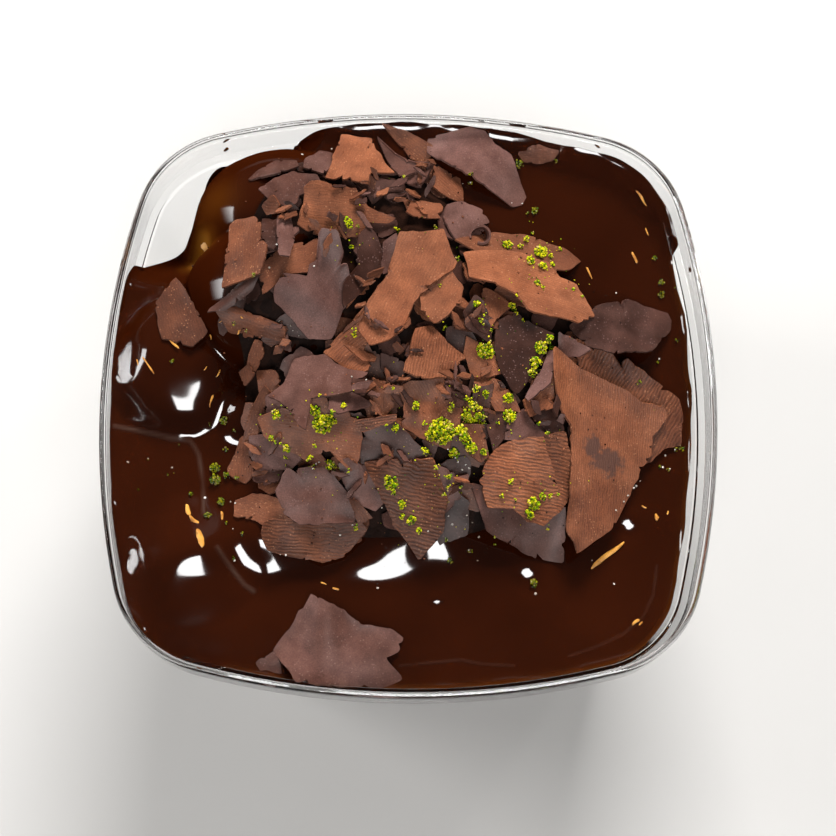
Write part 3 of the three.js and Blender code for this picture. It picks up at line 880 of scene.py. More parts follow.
shavings = [
    dark(0.45, [(10.5, -20.5), (13.5, -27.5), (18.5, -30), (23.5, -31.5), (27, -32), (27, -23),
        (15.5, -21)], tip=(0, 3)),
    milk(0.7, [(28.5, 5.5), (32.5, 4.5), (35.5, 4), (36.5, 2.5), (38, 3.5), (42.5, 0.5), (47.5, -2.5),
        (48.5, -5.5), (47.5, -10.5), (44.5, -11.5), (42.5, -14), (40.5, -15), (36.5, -9), (29.5, -1.5)],
        grain=60, ribs=0.9, pitch=0.6, curl=0.8),
    dark(0.85, [(28, 9.5), (33, 13.5), (39, 15.5), (47.5, 14.5), (47, 11), (43, 6), (40.5, 5), (36, 4.5),
        (31, 5.5)], curl=-1.4, ribs=0),
    dark(0.7, [(-25, -50), (-21.5, -48), (-20.5, -52), (-24, -51.5)]),
    milk(0.85, [(-30, 1.5), (-28, 2.5), (-27, 0.5), (-29, -1)]),
    dark(0.75, [(-30, 38), (-28, 40.5), (-25, 42.5), (-21, 42), (-20.5, 40.5), (-25, 38.5)]),
    dark(0.55, [(-19.5, 39.5), (-16, 38.8), (-14.5, 41), (-14.5, 44.5), (-17, 44.5), (-19.5, 42)]),
    dark(0.6, [(-28, 36), (-25, 38.5), (-21.5, 39.5), (-17, 38.5), (-16.2, 36.3), (-20, 34.5),
        (-20.5, 33), (-22, 32), (-26, 34)]),
    milk(0.7, [(-6, 49.5), (-1, 48), (4, 45), (3.5, 41.5), (0, 42.5)]),
    milk(0.6, [(4, 41), (9, 39), (9.5, 34), (6, 35), (3.5, 36.5)]),
    dark(0.35, [(5.5, 30), (6.5, 33), (9, 34.5), (13, 33.5), (14.5, 31), (12.5, 27), (8, 25.5)]),
    milk(0.5, [(0, 34), (5.5, 34), (6, 33), (5.5, 30.5), (1, 30), (-1, 31)]),
    milk(0.65, [(-29, -10.5), (-27.5, -12), (-27, -15), (-26.5, -18), (-28, -19.5), (-31.5, -17.5),
        (-30, -14)]),
    milk(0.6, [(-29.5, -22), (-26.5, -21), (-23.5, -21.5), (-20.5, -23), (-20, -27), (-23.5, -27.5),
        (-26.5, -25.5), (-29.5, -25)]),
    dark(0.35, [(-26.5, -17), (-21.5, -17), (-22, -19), (-24.5, -20), (-26.5, -19)]),
    milk(0.65, [(-20, 26), (-17, 27), (-16, 24), (-17.5, 20), (-22, 19.5), (-26, 15), (-27, 20),
        (-24, 24)]),
    dark(0.9, [(-27, 31), (-24, 31.5), (-23, 27), (-24, 22), (-25.5, 23), (-27, 27)]),
    dark(0.3, [(-24.3, 31.5), (-22, 32), (-21, 27), (-21.5, 21.5), (-23.5, 22)], roll=-1.5),
    milk(0.5, [(-27, 33), (-25, 34.5), (-23.5, 32.5), (-24, 31.3), (-26, 31.3)]),
    milk(0.65, [(-25, -3), (-23.5, -4), (-25.5, -7), (-26, -10), (-29, -11.5), (-28, -7.5)]),
    dark(0.3, [(-25, -3.5), (-22.5, -2.5), (-21.5, -6), (-25, -6.8)]),
    dark(0.25, [(-27.5, -11), (-25, -11), (-22, -12.5), (-18, -15), (-20, -16.8), (-25, -16.8),
        (-27, -14.5)]),
    dark(0.3, [(-12, -16), (-7.5, -16), (-5, -20), (-4, -22.5), (-5.5, -24), (-9, -22.5), (-11, -19.5)]),
    milk(0.68, [(-24, -27), (-21.5, -26), (-8, -26), (-7, -27), (-10.5, -31.5), (-14.5, -32.5),
        (-23.5, -31.5), (-24.5, -29)], grain=2, ribs=0.8, pitch=0.55),
    dark(0.4, [(-21, -17), (-14.5, -16.5), (-12, -18.5), (-9, -22), (-9, -25.5), (-18.5, -26.5),
        (-21.5, -24.5), (-22.5, -21)]),
    milk(0.8, [(-10, -22.5), (-8.5, -26), (-6, -25), (-8.5, -22.5)]),
    milk(0.5, [(-2, -2), (0, -1), (6, -0.5), (7, -4), (10, -6), (9, -8), (7, -13), (5, -12.5), (2, -11),
        (-1, -9), (-1, -5)]),
    dark(0.7, [(-8, -9), (-3, -8), (0, -11), (4, -14), (4.5, -15.5), (-2, -15.3), (-8, -15), (-8.5, -12)],
        ribs=0),
    milk(0.5, [(-26, -8), (-22, -6), (-15, -4), (-12, -6), (-9, -7.5), (-8, -10), (-8.5, -15),
        (-10, -16.8), (-13.5, -13), (-18, -14.5), (-22, -12.5), (-25, -11)]),
    milk(0.5, [(-9.5, -8), (-2, -6.8), (-2, -8.2), (-8, -9.8)], ribs=0.8, grain=8),
    milk(0.55, [(-6, -1), (-3, -1), (-2.5, -5), (-4, -7), (-6.5, -6), (-6, -3)]),
    dark(0.3, [(-14, -3.5), (-10, -2.2), (-7, -4), (-7, -5.2), (-10, -6), (-12, -7.2), (-14, -6.5)]),
    milk(0.3, [(-15, 4.8), (-12, 8.5), (-7, 14), (-6, 10), (-8, 5), (-6.5, 1.5), (-10, 0.5), (-13, 3)],
        ribs=0.6, grain=48),
    milk(0.6, [(9.5, -8.5), (13, -8.5), (14, -14), (12.5, -15.2), (10, -13.5), (8.5, -11)]),
    dark(0.85, [(13.5, -6), (17, -6), (18, -9), (16, -12), (14.5, -14), (13.8, -10)]),
    dark(0.3, [(17, -8.5), (20, -5), (22, -8), (26, -10.5), (20, -11.3), (16.5, -11.3)]),
    dark(0.85, [(21.5, -7.5), (23, -5.5), (25.5, -5), (27.5, -9), (26, -10), (24, -9.5)]),
    dark(0.35, [(4, -15.5), (8, -17.5), (9, -21.5), (6.5, -24), (5, -20)], tip=(0, -5)),
    milk(0.7, [(-7.5, -15.8), (4, -16), (6.5, -22.5), (6, -27), (2, -31.5), (-2.5, -25.5)], ribs=1,
        grain=-14, pitch=0.6, tip=(-3, 0), curl=-0.8),
    milk(0.5, [(23, -11), (27, -10), (28.5, -15), (28, -19), (27, -23), (24, -15)], ribs=1, grain=-4,
        pitch=0.62),
    milk(0.2, [(12, -19), (14.5, -13.5), (17, -11.5), (23.5, -10.6), (24.5, -15), (27, -22),
        (23.5, -25.5), (20.5, -25.5), (18, -23.5), (13.5, -23.5)], ribs=1, grain=-4, pitch=0.62,
        tip=(0, 4)),
    milk(0.3, [(25, 3), (25.5, -5), (21, -7.2), (19.8, -4.2), (23, -2)]),
    milk(0.35, [(14.5, 0), (16.5, -0.5), (18.5, -3.5), (19.5, -6), (15, -6), (13.8, -4)]),
    dark(0.6, [(11.5, -2), (14.8, -1.5), (13.7, -7), (12, -6.5)]),
    dark(0.45, [(6, 0), (11, -1.2), (10, -4), (8.5, -5.5), (7, -4.5)], curl=-0.8),
    milk(0.35, [(9.5, 4.5), (10, 7.5), (12, 6.5), (16, 3.5), (16.5, 1), (14, 0), (11, 0.3)]),
    dark(0.52, [(-20.5, 4), (-15, 4.4), (-11, 1.8), (-7, 1.2), (-8, 0), (-10, -0.5), (-10, -2.8),
        (-13, -3.5), (-17, -4), (-17, -10.5), (-19, -9), (-21, -5.5), (-25, -3.5), (-22, -1)], curl=-1.2,
        ribs=0),
    dark(0.5, [(-10, -0.3), (-5.5, -0.3), (-7, -2.5), (-9.5, -3)], tip=(12, 0)),
    dark(0.7, [(-5, 4), (-1, 3), (0.3, 1.5), (-2, 0.3), (-5, 1.2)], tip=(0, -14)),
    dark(0.8, [(-2.8, -1), (-1.5, -1.5), (2, -5.5), (1, -6.2)], tip=(0, 25)),
    milk(0.45, [(-12, 6), (-9, 5.5), (-5.8, 4), (-6, 2.8), (-8, 3)], tip=(0, 14)),
    milk(0.38, [(-1, 0.5), (0, 4), (1, 9), (4, 10), (6.5, 7), (10.3, 4.5), (8, 2), (6.5, 0), (2, -0.7)],
        ribs=0.7, grain=80, tip=(0, 5)),
    milk(0.6, [(-34.5, 12), (-31, 13), (-25, 10.5), (-22, 9.2), (-22, 6.8), (-26, 8), (-32, 9)],
        roll=-1.2),
    dark(0.65, [(-36.5, 12), (-33, 15), (-30, 18), (-26.5, 18.5), (-28, 16), (-33, 12.5)], roll=-1),
    milk(0.4, [(-19.5, 35), (-17, 36.5), (-10, 37), (-8, 34), (-5, 33), (-2.5, 33), (-4, 31.5), (-8, 31),
        (-8.5, 28.5), (-17, 27), (-20, 28), (-19.5, 31)]),
    dark(0.85, [(-10.5, 37.5), (-8, 40), (-5, 38.5), (-1.5, 38.3), (-0.5, 35), (-3, 33.5), (-5, 34.5),
        (-7, 33)], tip=(0, 6)),
    dark(0.4, [(-7.5, 41), (-3, 41.5), (-2.5, 39.5), (-7.5, 39.3)], tip=(0, -10)),
    dark(0.65, [(-7, 48.8), (-5, 46), (-3, 44), (0, 42), (4.5, 41.5), (3, 38), (1.5, 35.5), (-0.5, 36.5),
        (-3, 40), (-5, 43.5)], curl=1.5),
    milk(0.22, [(-13, 48.5), (-7.5, 49), (-6.5, 46), (-4, 42), (-3, 41), (-7.5, 40), (-7.5, 38),
        (-10, 37.5), (-15.5, 38), (-14.5, 41), (-14, 44)], tip=(-4, 0)),
    milk(0.72, [(-33, 30), (-32, 31.2), (-28.5, 31.5), (-27, 30), (-27, 26), (-25.5, 24), (-25.5, 21),
        (-26.5, 18), (-33.5, 16.3), (-33, 22)], curl=-1),
    dark(0.55, [(-5, 26), (-2.5, 27.3), (-2, 25), (-3.5, 21), (-4.5, 19.5), (-5.3, 21)], tip=(0, -12)),
    dark(0.2, [(-24, 16), (-22.5, 18.5), (-18.3, 18.8), (-18, 21), (-16.5, 22), (-18, 24), (-16.3, 26.8),
        (-13, 26.8), (-12, 23.5), (-11, 20), (-11.5, 15), (-12.5, 12), (-14, 9), (-18, 8), (-21, 11),
        (-24, 13.5)], ribs=0, tip=(0, 4)),
    milk(0.3, [(-11, 15), (-9.8, 20), (-9, 19.5), (-9, 17), (-11.5, 13)]),
    dark(0.95, [(-12, 12), (-12, 17), (-9.5, 21), (-9.5, 27), (-7.5, 31), (-6, 28), (-5, 25), (-6, 20),
        (-9, 15.5)], tip=(0, 24), ribs=0),
    milk(0.35, [(2, 12.5), (2, 16), (7, 20.3), (9.6, 17), (9, 14), (7, 12), (4.5, 10)], tip=(0, 5)),
    milk(0.25, [(-2, 27.5), (2, 27.5), (6, 28.5), (7, 25), (8.5, 21.5), (4, 18), (1.5, 15.5), (0, 12),
        (-1, 8.5), (-4, 6.5), (-7, 5.5), (-9, 8.5), (-7.5, 14.5), (-4, 20)], curl=1.6, tip=(-4, 0),
        ribs=0.3, grain=66),
    milk(0.35, [(12.5, 17.3), (15, 16.5), (18.2, 13.8), (15, 10.5), (14.3, 8.5), (13.2, 12)]),
    dark(0.8, [(9.5, 12), (11.5, 15.3), (13.3, 14), (14.8, 8.5), (14, 7.2), (10, 9.5)]),
    dark(0.95, [(15.5, 10.5), (18.5, 12.8), (22, 10), (25.5, 8.5), (23, 4), (21, 0), (19, -3), (18, -2.5),
        (16, 1.5), (15, 5.5)], ribs=0),
    milk(0.65, [(8, 25), (11, 26.5), (15, 28.5), (21, 28.3), (28, 26.3), (31, 24), (28.5, 21.5), (24, 20),
        (15, 22)], tip=(0, -3)),
    milk(0.22, [(9.5, 24.5), (15, 25.3), (20, 25.3), (25, 24), (27, 21), (30, 20), (32, 16), (33.5, 13),
        (30, 11), (21, 12), (18.5, 15.5), (14, 17.5), (10.7, 18.3)], curl=-1.5, tip=(0, 5), ribs=0.25,
        grain=-14),
    dark(0.15, [(26.5, 10), (28.5, 9), (32, 5.5), (30, 4.8), (26.5, 6)], curl=1),
    dark(0.1, [(25, 7), (26.5, 6.5), (25, 0), (21, -3.7), (20.3, -2.7), (23, 2)], tip=(0, 12)),
    # its fade darkens it strongly towards the front as painted shade
    milk(0.32, [(24.7, 3.5), (26.6, 2.5), (29.5, 0.5), (32.5, -0.4), (37.5, -2.4), (40.5, -3.9),
        (44.5, -4.4), (45.3, -5.8), (43.8, -8.3), (42.6, -9.3), (42.4, -12.2), (40.9, -14.7),
        (39.2, -18.5), (36.4, -24), (34.5, -27), (30.5, -30), (28.6, -31.4), (28.4, -29.5), (26.8, -27.5),
        (27.6, -22), (28, -14.2), (27.6, -9.3), (26.1, -7.3), (25.1, -4.4)], grain=86, ribs=0.5,
        pitch=0.42, curl=1.5, tip=(-3, 4), fade=(0, -0.022)),
]

# Shavings that lie by themselves, each a piece of its own
loneShavings = [
    dark(0.5, [(-16, -38.5), (-22, -48), (-18, -53.5), (-13, -54), (-2.5, -54), (-0.5, -52), (-3.5, -49),
        (-1.5, -48), (-0.5, -45.5), (-2.5, -44), (-7, -43.5), (-12, -40.5)], name="shavingFront",
        node="shaving_front", curl=-1.2, tip=(0, 3), warp=0.035, ribs=0),
    milk(1.0, [(-45.5, 14), (-42, 19.5), (-38, 12.5), (-35.5, 8), (-38, 5), (-43.5, 6.5)],
        name="shavingLeft", node="shaving_left", curl=-1),
    dark(0.26, [(3, 47), (10.5, 49), (13.5, 48), (15, 46), (18.5, 43.5), (20, 39), (21.5, 35), (18.5, 34),
        (13, 37.5), (8.5, 40), (3, 43.5)], name="shavingFar", node="shaving_far", curl=-1.2, ribs=0),
    milk(0.8, [(19.5, 44), (23, 45.5), (27.5, 44.5), (26, 42.5), (23, 41.5), (20.5, 42)],
        name="shavingFarRight", node="shaving_far_right"),
]

# Broken bits all over the heap, under the shavings
looseBits = {
    "count": 90, "length": (5, 10), "width": (3, 6.5), "tip": 14, "spread": 0.95, "corners": 6,
    "uneven": 0.7, "tones": (0.4, 1), "milk": 0.55,
}

# Thin splinters in the gaps between the shavings
splinters = {
    "length": (2, 5.5), "width": (0.7, 1.7), "tip": 20, "corners": 4,
    "uneven": 0.45, "tones": (0.3, 0.9), "milk": 0.5,
    # place, spread and count
    "spots": [
        (-5, -1, 4, 12), (-8, 11, 3, 6), (-8, 35, 4, 9), (-14, 28, 4, 7), (8, -2, 4, 9),
        (-25, -15, 3, 6), (0, 35, 4, 8), (-22, 6, 3, 5), (13, -1, 3, 6), (-10, -17, 3, 5),
        (11, 11, 3, 6), (-22, 31, 4, 7), (2, 40, 3, 6), (24, -6, 3, 4), (-4, -14, 3, 5),
        (9, -19, 2, 4), (-8, 18, 2, 4), (-2, 7, 3, 5),
    ],
}


# Corners of an angular bit at a place
def bitCorners(bits, at, draw):
    length, width = draw.uniform(*bits["length"]), draw.uniform(*bits["width"])
    turn, count = draw.uniform(0, fullTurn), bits["corners"]
    a = fullTurn * (np.arange(count) + bits["uneven"] * draw.random(count)) / count
    x, y = turned(np.cos(a) * length / 2, np.sin(a) * width / 2, turn)
    return np.column_stack([x + at[0], y + at[1]])


# Middle of the area inside an outline
def areaMiddle(corners):
    x, y = corners.T
    nextX, nextY = np.roll(x, -1), np.roll(y, -1)
    cross = x * nextY - nextX * y
    area = cross.sum() / 2
    return np.array([((x + nextX) * cross).sum(), ((y + nextY) * cross).sum()]) / (6 * area)


# Random offsets about a spacing apart along an outline, joined by straight lines
def jags(angles, size, spacing, draw):
    count = max(5, round(fullTurn * size / spacing))
    knots = (np.arange(count) + draw.uniform(-0.35, 0.35, count)) / count * fullTurn
    return np.interp(angles, knots - math.pi, draw.uniform(-1, 1, count), period=fullTurn)


# How far an outline reaches from its middle in each direction, with a torn edge
def tornReach(corners, middle, draw):
    ray = np.column_stack([np.cos(directions), np.sin(directions)])
    reach = np.full(len(directions), 1e3)
    for a, b in zip(corners - middle, np.roll(corners, -1, axis=0) - middle):
        edge = b - a
        cross = ray[:, 0] * edge[1] - ray[:, 1] * edge[0]
        cross = np.where(np.abs(cross) < 1e-9, 1e-9, cross)
        t = (a[0] * edge[1] - a[1] * edge[0]) / cross
        s = (a[0] * ray[:, 1] - a[1] * ray[:, 0]) / cross
        reach = np.where((t > 0) & (s > -1e-6) & (s < 1 + 1e-6) & (t < reach), t, reach)
    ring = np.concatenate([reach[-3:-1], reach, reach[1:3]])
    reach = np.convolve(ring, [0.14, 0.22, 0.28, 0.22, 0.14], "valid")  # takes off the points
    size = reach.mean()
    amount = min(1, size / shavingForm["smallest"])
    for spacing, depth in shavingForm["jags"]:
        reach = reach + depth * amount * jags(directions, size, spacing, draw)
    for _ in range(shavingForm["notches"]):
        at, wide = draw.uniform(-math.pi, math.pi), draw.uniform(*shavingForm["notchWidth"])
        away = np.abs((directions - at + math.pi) % fullTurn - math.pi) * size
        depth = draw.uniform(*shavingForm["notchDepth"]) * amount
        reach = reach - depth * np.maximum(0, 1 - away / wide)
    return np.maximum(reach, shavingForm["leastReach"])


# All that is known of a shaving: what its row says, and the usual where it says nothing
def shapeOf(row, draw):
    corners = np.array(row["corners"], float)
    middle = areaMiddle(corners)
    reach = tornReach(corners, middle, draw)
    x, y = reach * np.cos(directions), reach * np.sin(directions)
    longest = np.linalg.eigh(np.cov(np.vstack([x, y])))[1][:, 1]
    turn = math.atan2(longest[1], longest[0])
    along, aside = turned(x, y, -turn)
    # the usual fade darkens the tone towards the front: painted shade
    usual = {
        "curl": draw.uniform(*shavingForm["curl"]) * np.ptp(along), "roll": 0, "tip": (0, 0),
        "ribs": draw.uniform(*shavingForm["ribs"][row["kind"]]), "pitch": 0.5,
        "grain": math.degrees(turn), "warp": shavingForm["warp"], "fade": (0, -0.008),
    }
    return {
        **usual, **row, "seenMiddle": middle, "middle": middle, "reach": reach,
        "seenReach": reach, "turn": turn, "halfLength": np.abs(along).max(),
        "halfWidth": np.abs(aside).max(), "border": np.hypot(np.diff(x), np.diff(y)).sum(),
        "seed": int(draw.integers(1, 10000)), "lift": 0.0, "slope": (0.0, 0.0),
    }


# Moves a shaving along the line of sight to a height
def moveToHeight(shape, z):
    eye = np.array(shavingForm["eye"])
    scale = (eye[2] - z) / (eye[2] - shavingForm["seenAt"])
    shape["middle"] = eye[:2] + (shape["seenMiddle"] - eye[:2]) * scale
    shape["reach"] = shape["seenReach"] * scale


# Points of a shaving for a square grid of shares from -1 to 1
def shavingPoints(shape, u, v):
    share, angle = gridToShape(u, v)
    r = share * np.interp(angle, directions, shape["reach"])
    x, y = r * np.cos(angle), r * np.sin(angle)
    half, seed = shape["halfLength"], shape["seed"]
    along, aside = turned(x, y, -shape["turn"])
    tip = [math.tan(math.radians(value)) for value in shape["tip"]]
    z = -tip[0] * along + tip[1] * aside
    z = z + shape["curl"] * (along / half) ** 2
    z = z + shape["roll"] * (aside / shape["halfWidth"]) ** 2
    z = z + shape["warp"] * 2 * half * ripples(x, y, 1.3 * half + 2, seed, octaves=2)
    lifted = np.maximum(ripples(angle, 0 * angle, 2.4, seed + 1, octaves=1), 0)
    z = z + shavingForm["lifted"] * half * lifted * share**5
    z = z + shape["slope"][0] * x + shape["slope"][1] * y + shape["lift"]
    return x + shape["middle"][0], y + shape["middle"][1], z


# The places at which a shaving feels for what is below it
fineSteps = np.linspace(-1, 1, 60)
fineU, fineV = (side.ravel() for side in np.meshgrid(fineSteps, fineSteps))


# The slope and lift with which a shaving lies closest to what is below it
def closestFit(shape, leans):
    shape["slope"], shape["lift"] = (0.0, 0.0), 0.0
    x, y, z = shavingPoints(shape, fineU, fineV)
    below = ground[cellOf(x, y)]
    dx, dy = x - shape["middle"][0], y - shape["middle"][1]
    basis = np.column_stack([np.ones_like(dx), dx, dy])
    plane = np.linalg.lstsq(basis, below, rcond=None)[0]
    base = np.clip(plane[1:], -shavingForm["steepest"], shavingForm["steepest"])
    best = None
    for leanX in leans:
        for leanY in leans:
            slope = (base[0] + leanX, base[1] + leanY)
            need = below - (z + slope[0] * dx + slope[1] * dy) + shavingForm["thick"] / 2
            lift = max(np.percentile(need, 98), need.max() - shavingForm["sink"])
            score = lift - need.mean() + 0.4 * math.hypot(leanX, leanY)  # rather no lean
            if best is None or score < best[0]:
                best = (score, slope, lift)
    _, shape["slope"], shape["lift"] = best


# Lays a shaving on what is below, and makes it a part of that for the next one
def settle(shape, leans=(-0.24, -0.12, 0, 0.12, 0.24)):
    if shape.get("seen", True):
        x, y, _ = shavingPoints(shape, fineU, fineV)
        moveToHeight(shape, ground[cellOf(x, y)].mean() + 1)
        closestFit(shape, (0,))
        moveToHeight(shape, shape["lift"])
    closestFit(shape, leans)
    x, y, z = shavingPoints(shape, fineU, fineV)
    np.maximum.at(ground, cellOf(x, y), z + shavingForm["thick"] / 2)


gridTemplates = {}


# A square grid with that many cells a side, made once and then copied
def gridCopy(cells):
    if cells not in gridTemplates:
        gridTemplates[cells] = addGrid(cells)
        gridTemplates[cells].name = "template"
    return copyOf(gridTemplates[cells])


def meshShaving(shape, draw):
    coarser = 1 if shape.get("seen", True) else 2  # the strewn bits are mostly hidden
    cells = round(shape["border"] / 4 / (coarser * shavingForm["edgeStep"]))
    sheet = gridCopy(int(np.clip(cells, shavingForm["fewest"], shavingForm["most"])))
    square = getPoints(sheet)
    x, y, z = shavingPoints(shape, square[:, 0], square[:, 1])
    setPoints(sheet, np.column_stack([x, y, z]))
    dx, dy = x - shape["middle"][0], y - shape["middle"][1]
    down, across = turned(dx, dy, -math.radians(shape["grain"]))
    elsewhere = draw.uniform(0, 300, 2)  # so that no two have the same ridges
    uv = np.column_stack([across, down]) / shape["pitch"] + elsewhere
    loops = np.empty(len(sheet.data.loops), np.int32)
    sheet.data.loops.foreach_get("vertex_index", loops)
    sheet.data.uv_layers[0].data.foreach_set("uv", uv[loops].astype(np.float32).ravel())
    # the fade darkens the tone towards the front as painted shade
    fade = shape["fade"]
    patches = ripples(x, y, shavingForm["patchSize"], shape["seed"] + 2)
    tone = shape["tone"] + fade[0] * dx + fade[1] * dy + shavingForm["patches"] * patches
    setAttribute(sheet, "tone", np.clip(tone, 0, 1))
    setAttribute(sheet, "ribs", shape["ribs"])
    return sheet


# Joins sheets and gives them their thickness, with the torn finish on the edge
def finishShavings(name, sheets, kind):
    piece = joinParts(name, sheets, shavingFinishes[kind], shavingFinishes[kind + "Torn"])
    applyModifier(piece, "SOLIDIFY", thickness=shavingForm["thick"] * mm, offset=0,
                  material_offset_rim=1, use_even_offset=False)
    shadeSmooth(piece, 40)
    return piece


# A curl standing on the heap: a narrow strip rolled up, wider at its top
curlPiece = {
    "at": (12.9, 31.6), "radius": (1.1, 1.5), "flare": 0.28, "turns": (-0.3, 0.55), "tall": 2.4,
    "lean": 0.45, "sunk": 0.4, "wobble": 0.3, "tone": 0.45, "ribs": 0.1, "cells": 24,
}


def meshCurl():
    strip = gridCopy(curlPiece["cells"])
    square = getPoints(strip)
    t = (square[:, 0] + 1) / 2
    start, end = curlPiece["turns"]
    angle = fullTurn * (start + (end - start) * t)
    up = (square[:, 1] + 1) / 2 * curlPiece["tall"]
    inner, outer = curlPiece["radius"]
    r = inner + (outer - inner) * t + up * curlPiece["flare"] * (1 - 0.4 * t)
    x = curlPiece["at"][0] + r * np.cos(angle)
    y = curlPiece["at"][1] + r * np.sin(angle) - up * curlPiece["lean"]
    base = ground[cellOf(*curlPiece["at"])] - curlPiece["sunk"]
    z = base + up + curlPiece["wobble"] * np.sin(2 * angle)
    setPoints(strip, np.column_stack([x, y, z]))
    setAttribute(strip, "tone", curlPiece["tone"])
    setAttribute(strip, "ribs", curlPiece["ribs"])
    return strip


# Drops a bit at a place and adds it to the sheets of its kind. With seen=False the place is
# on the heap itself, and else it is as the camera sees it, like the corners of the shavings.
def dropBit(bits, at, sheets, draw, **more):
    kind = "milk" if draw.random() < bits["milk"] else "dark"
    tip = tuple(draw.uniform(-bits["tip"], bits["tip"], 2))
    row = shaving(kind, draw.uniform(*bits["tones"]), bitCorners(bits, at, draw), tip=tip, **more)
    shape = shapeOf(row, draw)
    settle(shape, leans=(0,))
    sheets[kind].append(meshShaving(shape, draw))


def makeShavings():
    draw = np.random.default_rng(21)
    sheets = {"milk": [], "dark": []}
    golden = math.pi * (3 - math.sqrt(5))  # spreads the bits evenly
    for index in range(looseBits["count"]):
        angle = index * golden
        r = heapReach(angle) * math.sqrt((index + 0.5) / looseBits["count"]) * looseBits["spread"]
        dropBit(looseBits, fromMiddle(r, angle), sheets, draw, seen=False)
    for row in shavings:
        shape = shapeOf(row, draw)
        settle(shape)
        sheets[row["kind"]].append(meshShaving(shape, draw))
    sheets["dark"].append(meshCurl())
    for x, y, spread, count in splinters["spots"]:
        for _ in range(count):
            at = (x + draw.normal(0, spread / 2), y + draw.normal(0, spread / 2))
            dropBit(splinters, at, sheets, draw)
    for kind, parts in sheets.items():
        piece = finishShavings(kind + "Shavings", parts, kind)
        placePiece(piece, "chocolate_shavings", "chocolate_shavings")
    for row in loneShavings:
        shape = shapeOf(row, draw)
        settle(shape)
        shape["lift"] -= shavingForm["wetted"]
        piece = finishShavings(row["name"], [meshShaving(shape, draw)], row["kind"])
        placePiece(piece, "chocolate_shavings", row["node"])
    for template in gridTemplates.values():
        bpy.data.objects.remove(template)


# Finish of the shavings: fine ridges along the grain, painted shade in the hollows between the ridges of
# the milk ones, dusty specks, cloudy bloom on the dark
shavingColours = {
    "milk": {
        "tones": [(0.285, 0.092, 0.039), (0.175, 0.056, 0.025), (0.075, 0.025, 0.013)],
        "bloom": (0.46, 0.21, 0.11), "haze": 0.12, "roughness": 0.6, "gloss": 0.25, "ridge": 0.2,
    },
    "dark": {
        "tones": [(0.15, 0.072, 0.06), (0.095, 0.039, 0.028), (0.028, 0.009, 0.005)],
        "bloom": (0.21, 0.12, 0.105), "haze": 0.3, "roughness": 0.52, "gloss": 0.2, "ridge": 0.1,
    },
}
# Dark blots on the large milk shaving at the right
blots = [{"at": (35.9, -11.5), "reach": (5.8, 5.2)}, {"at": (33.2, -8.9), "reach": (3.6, 3.8)}]


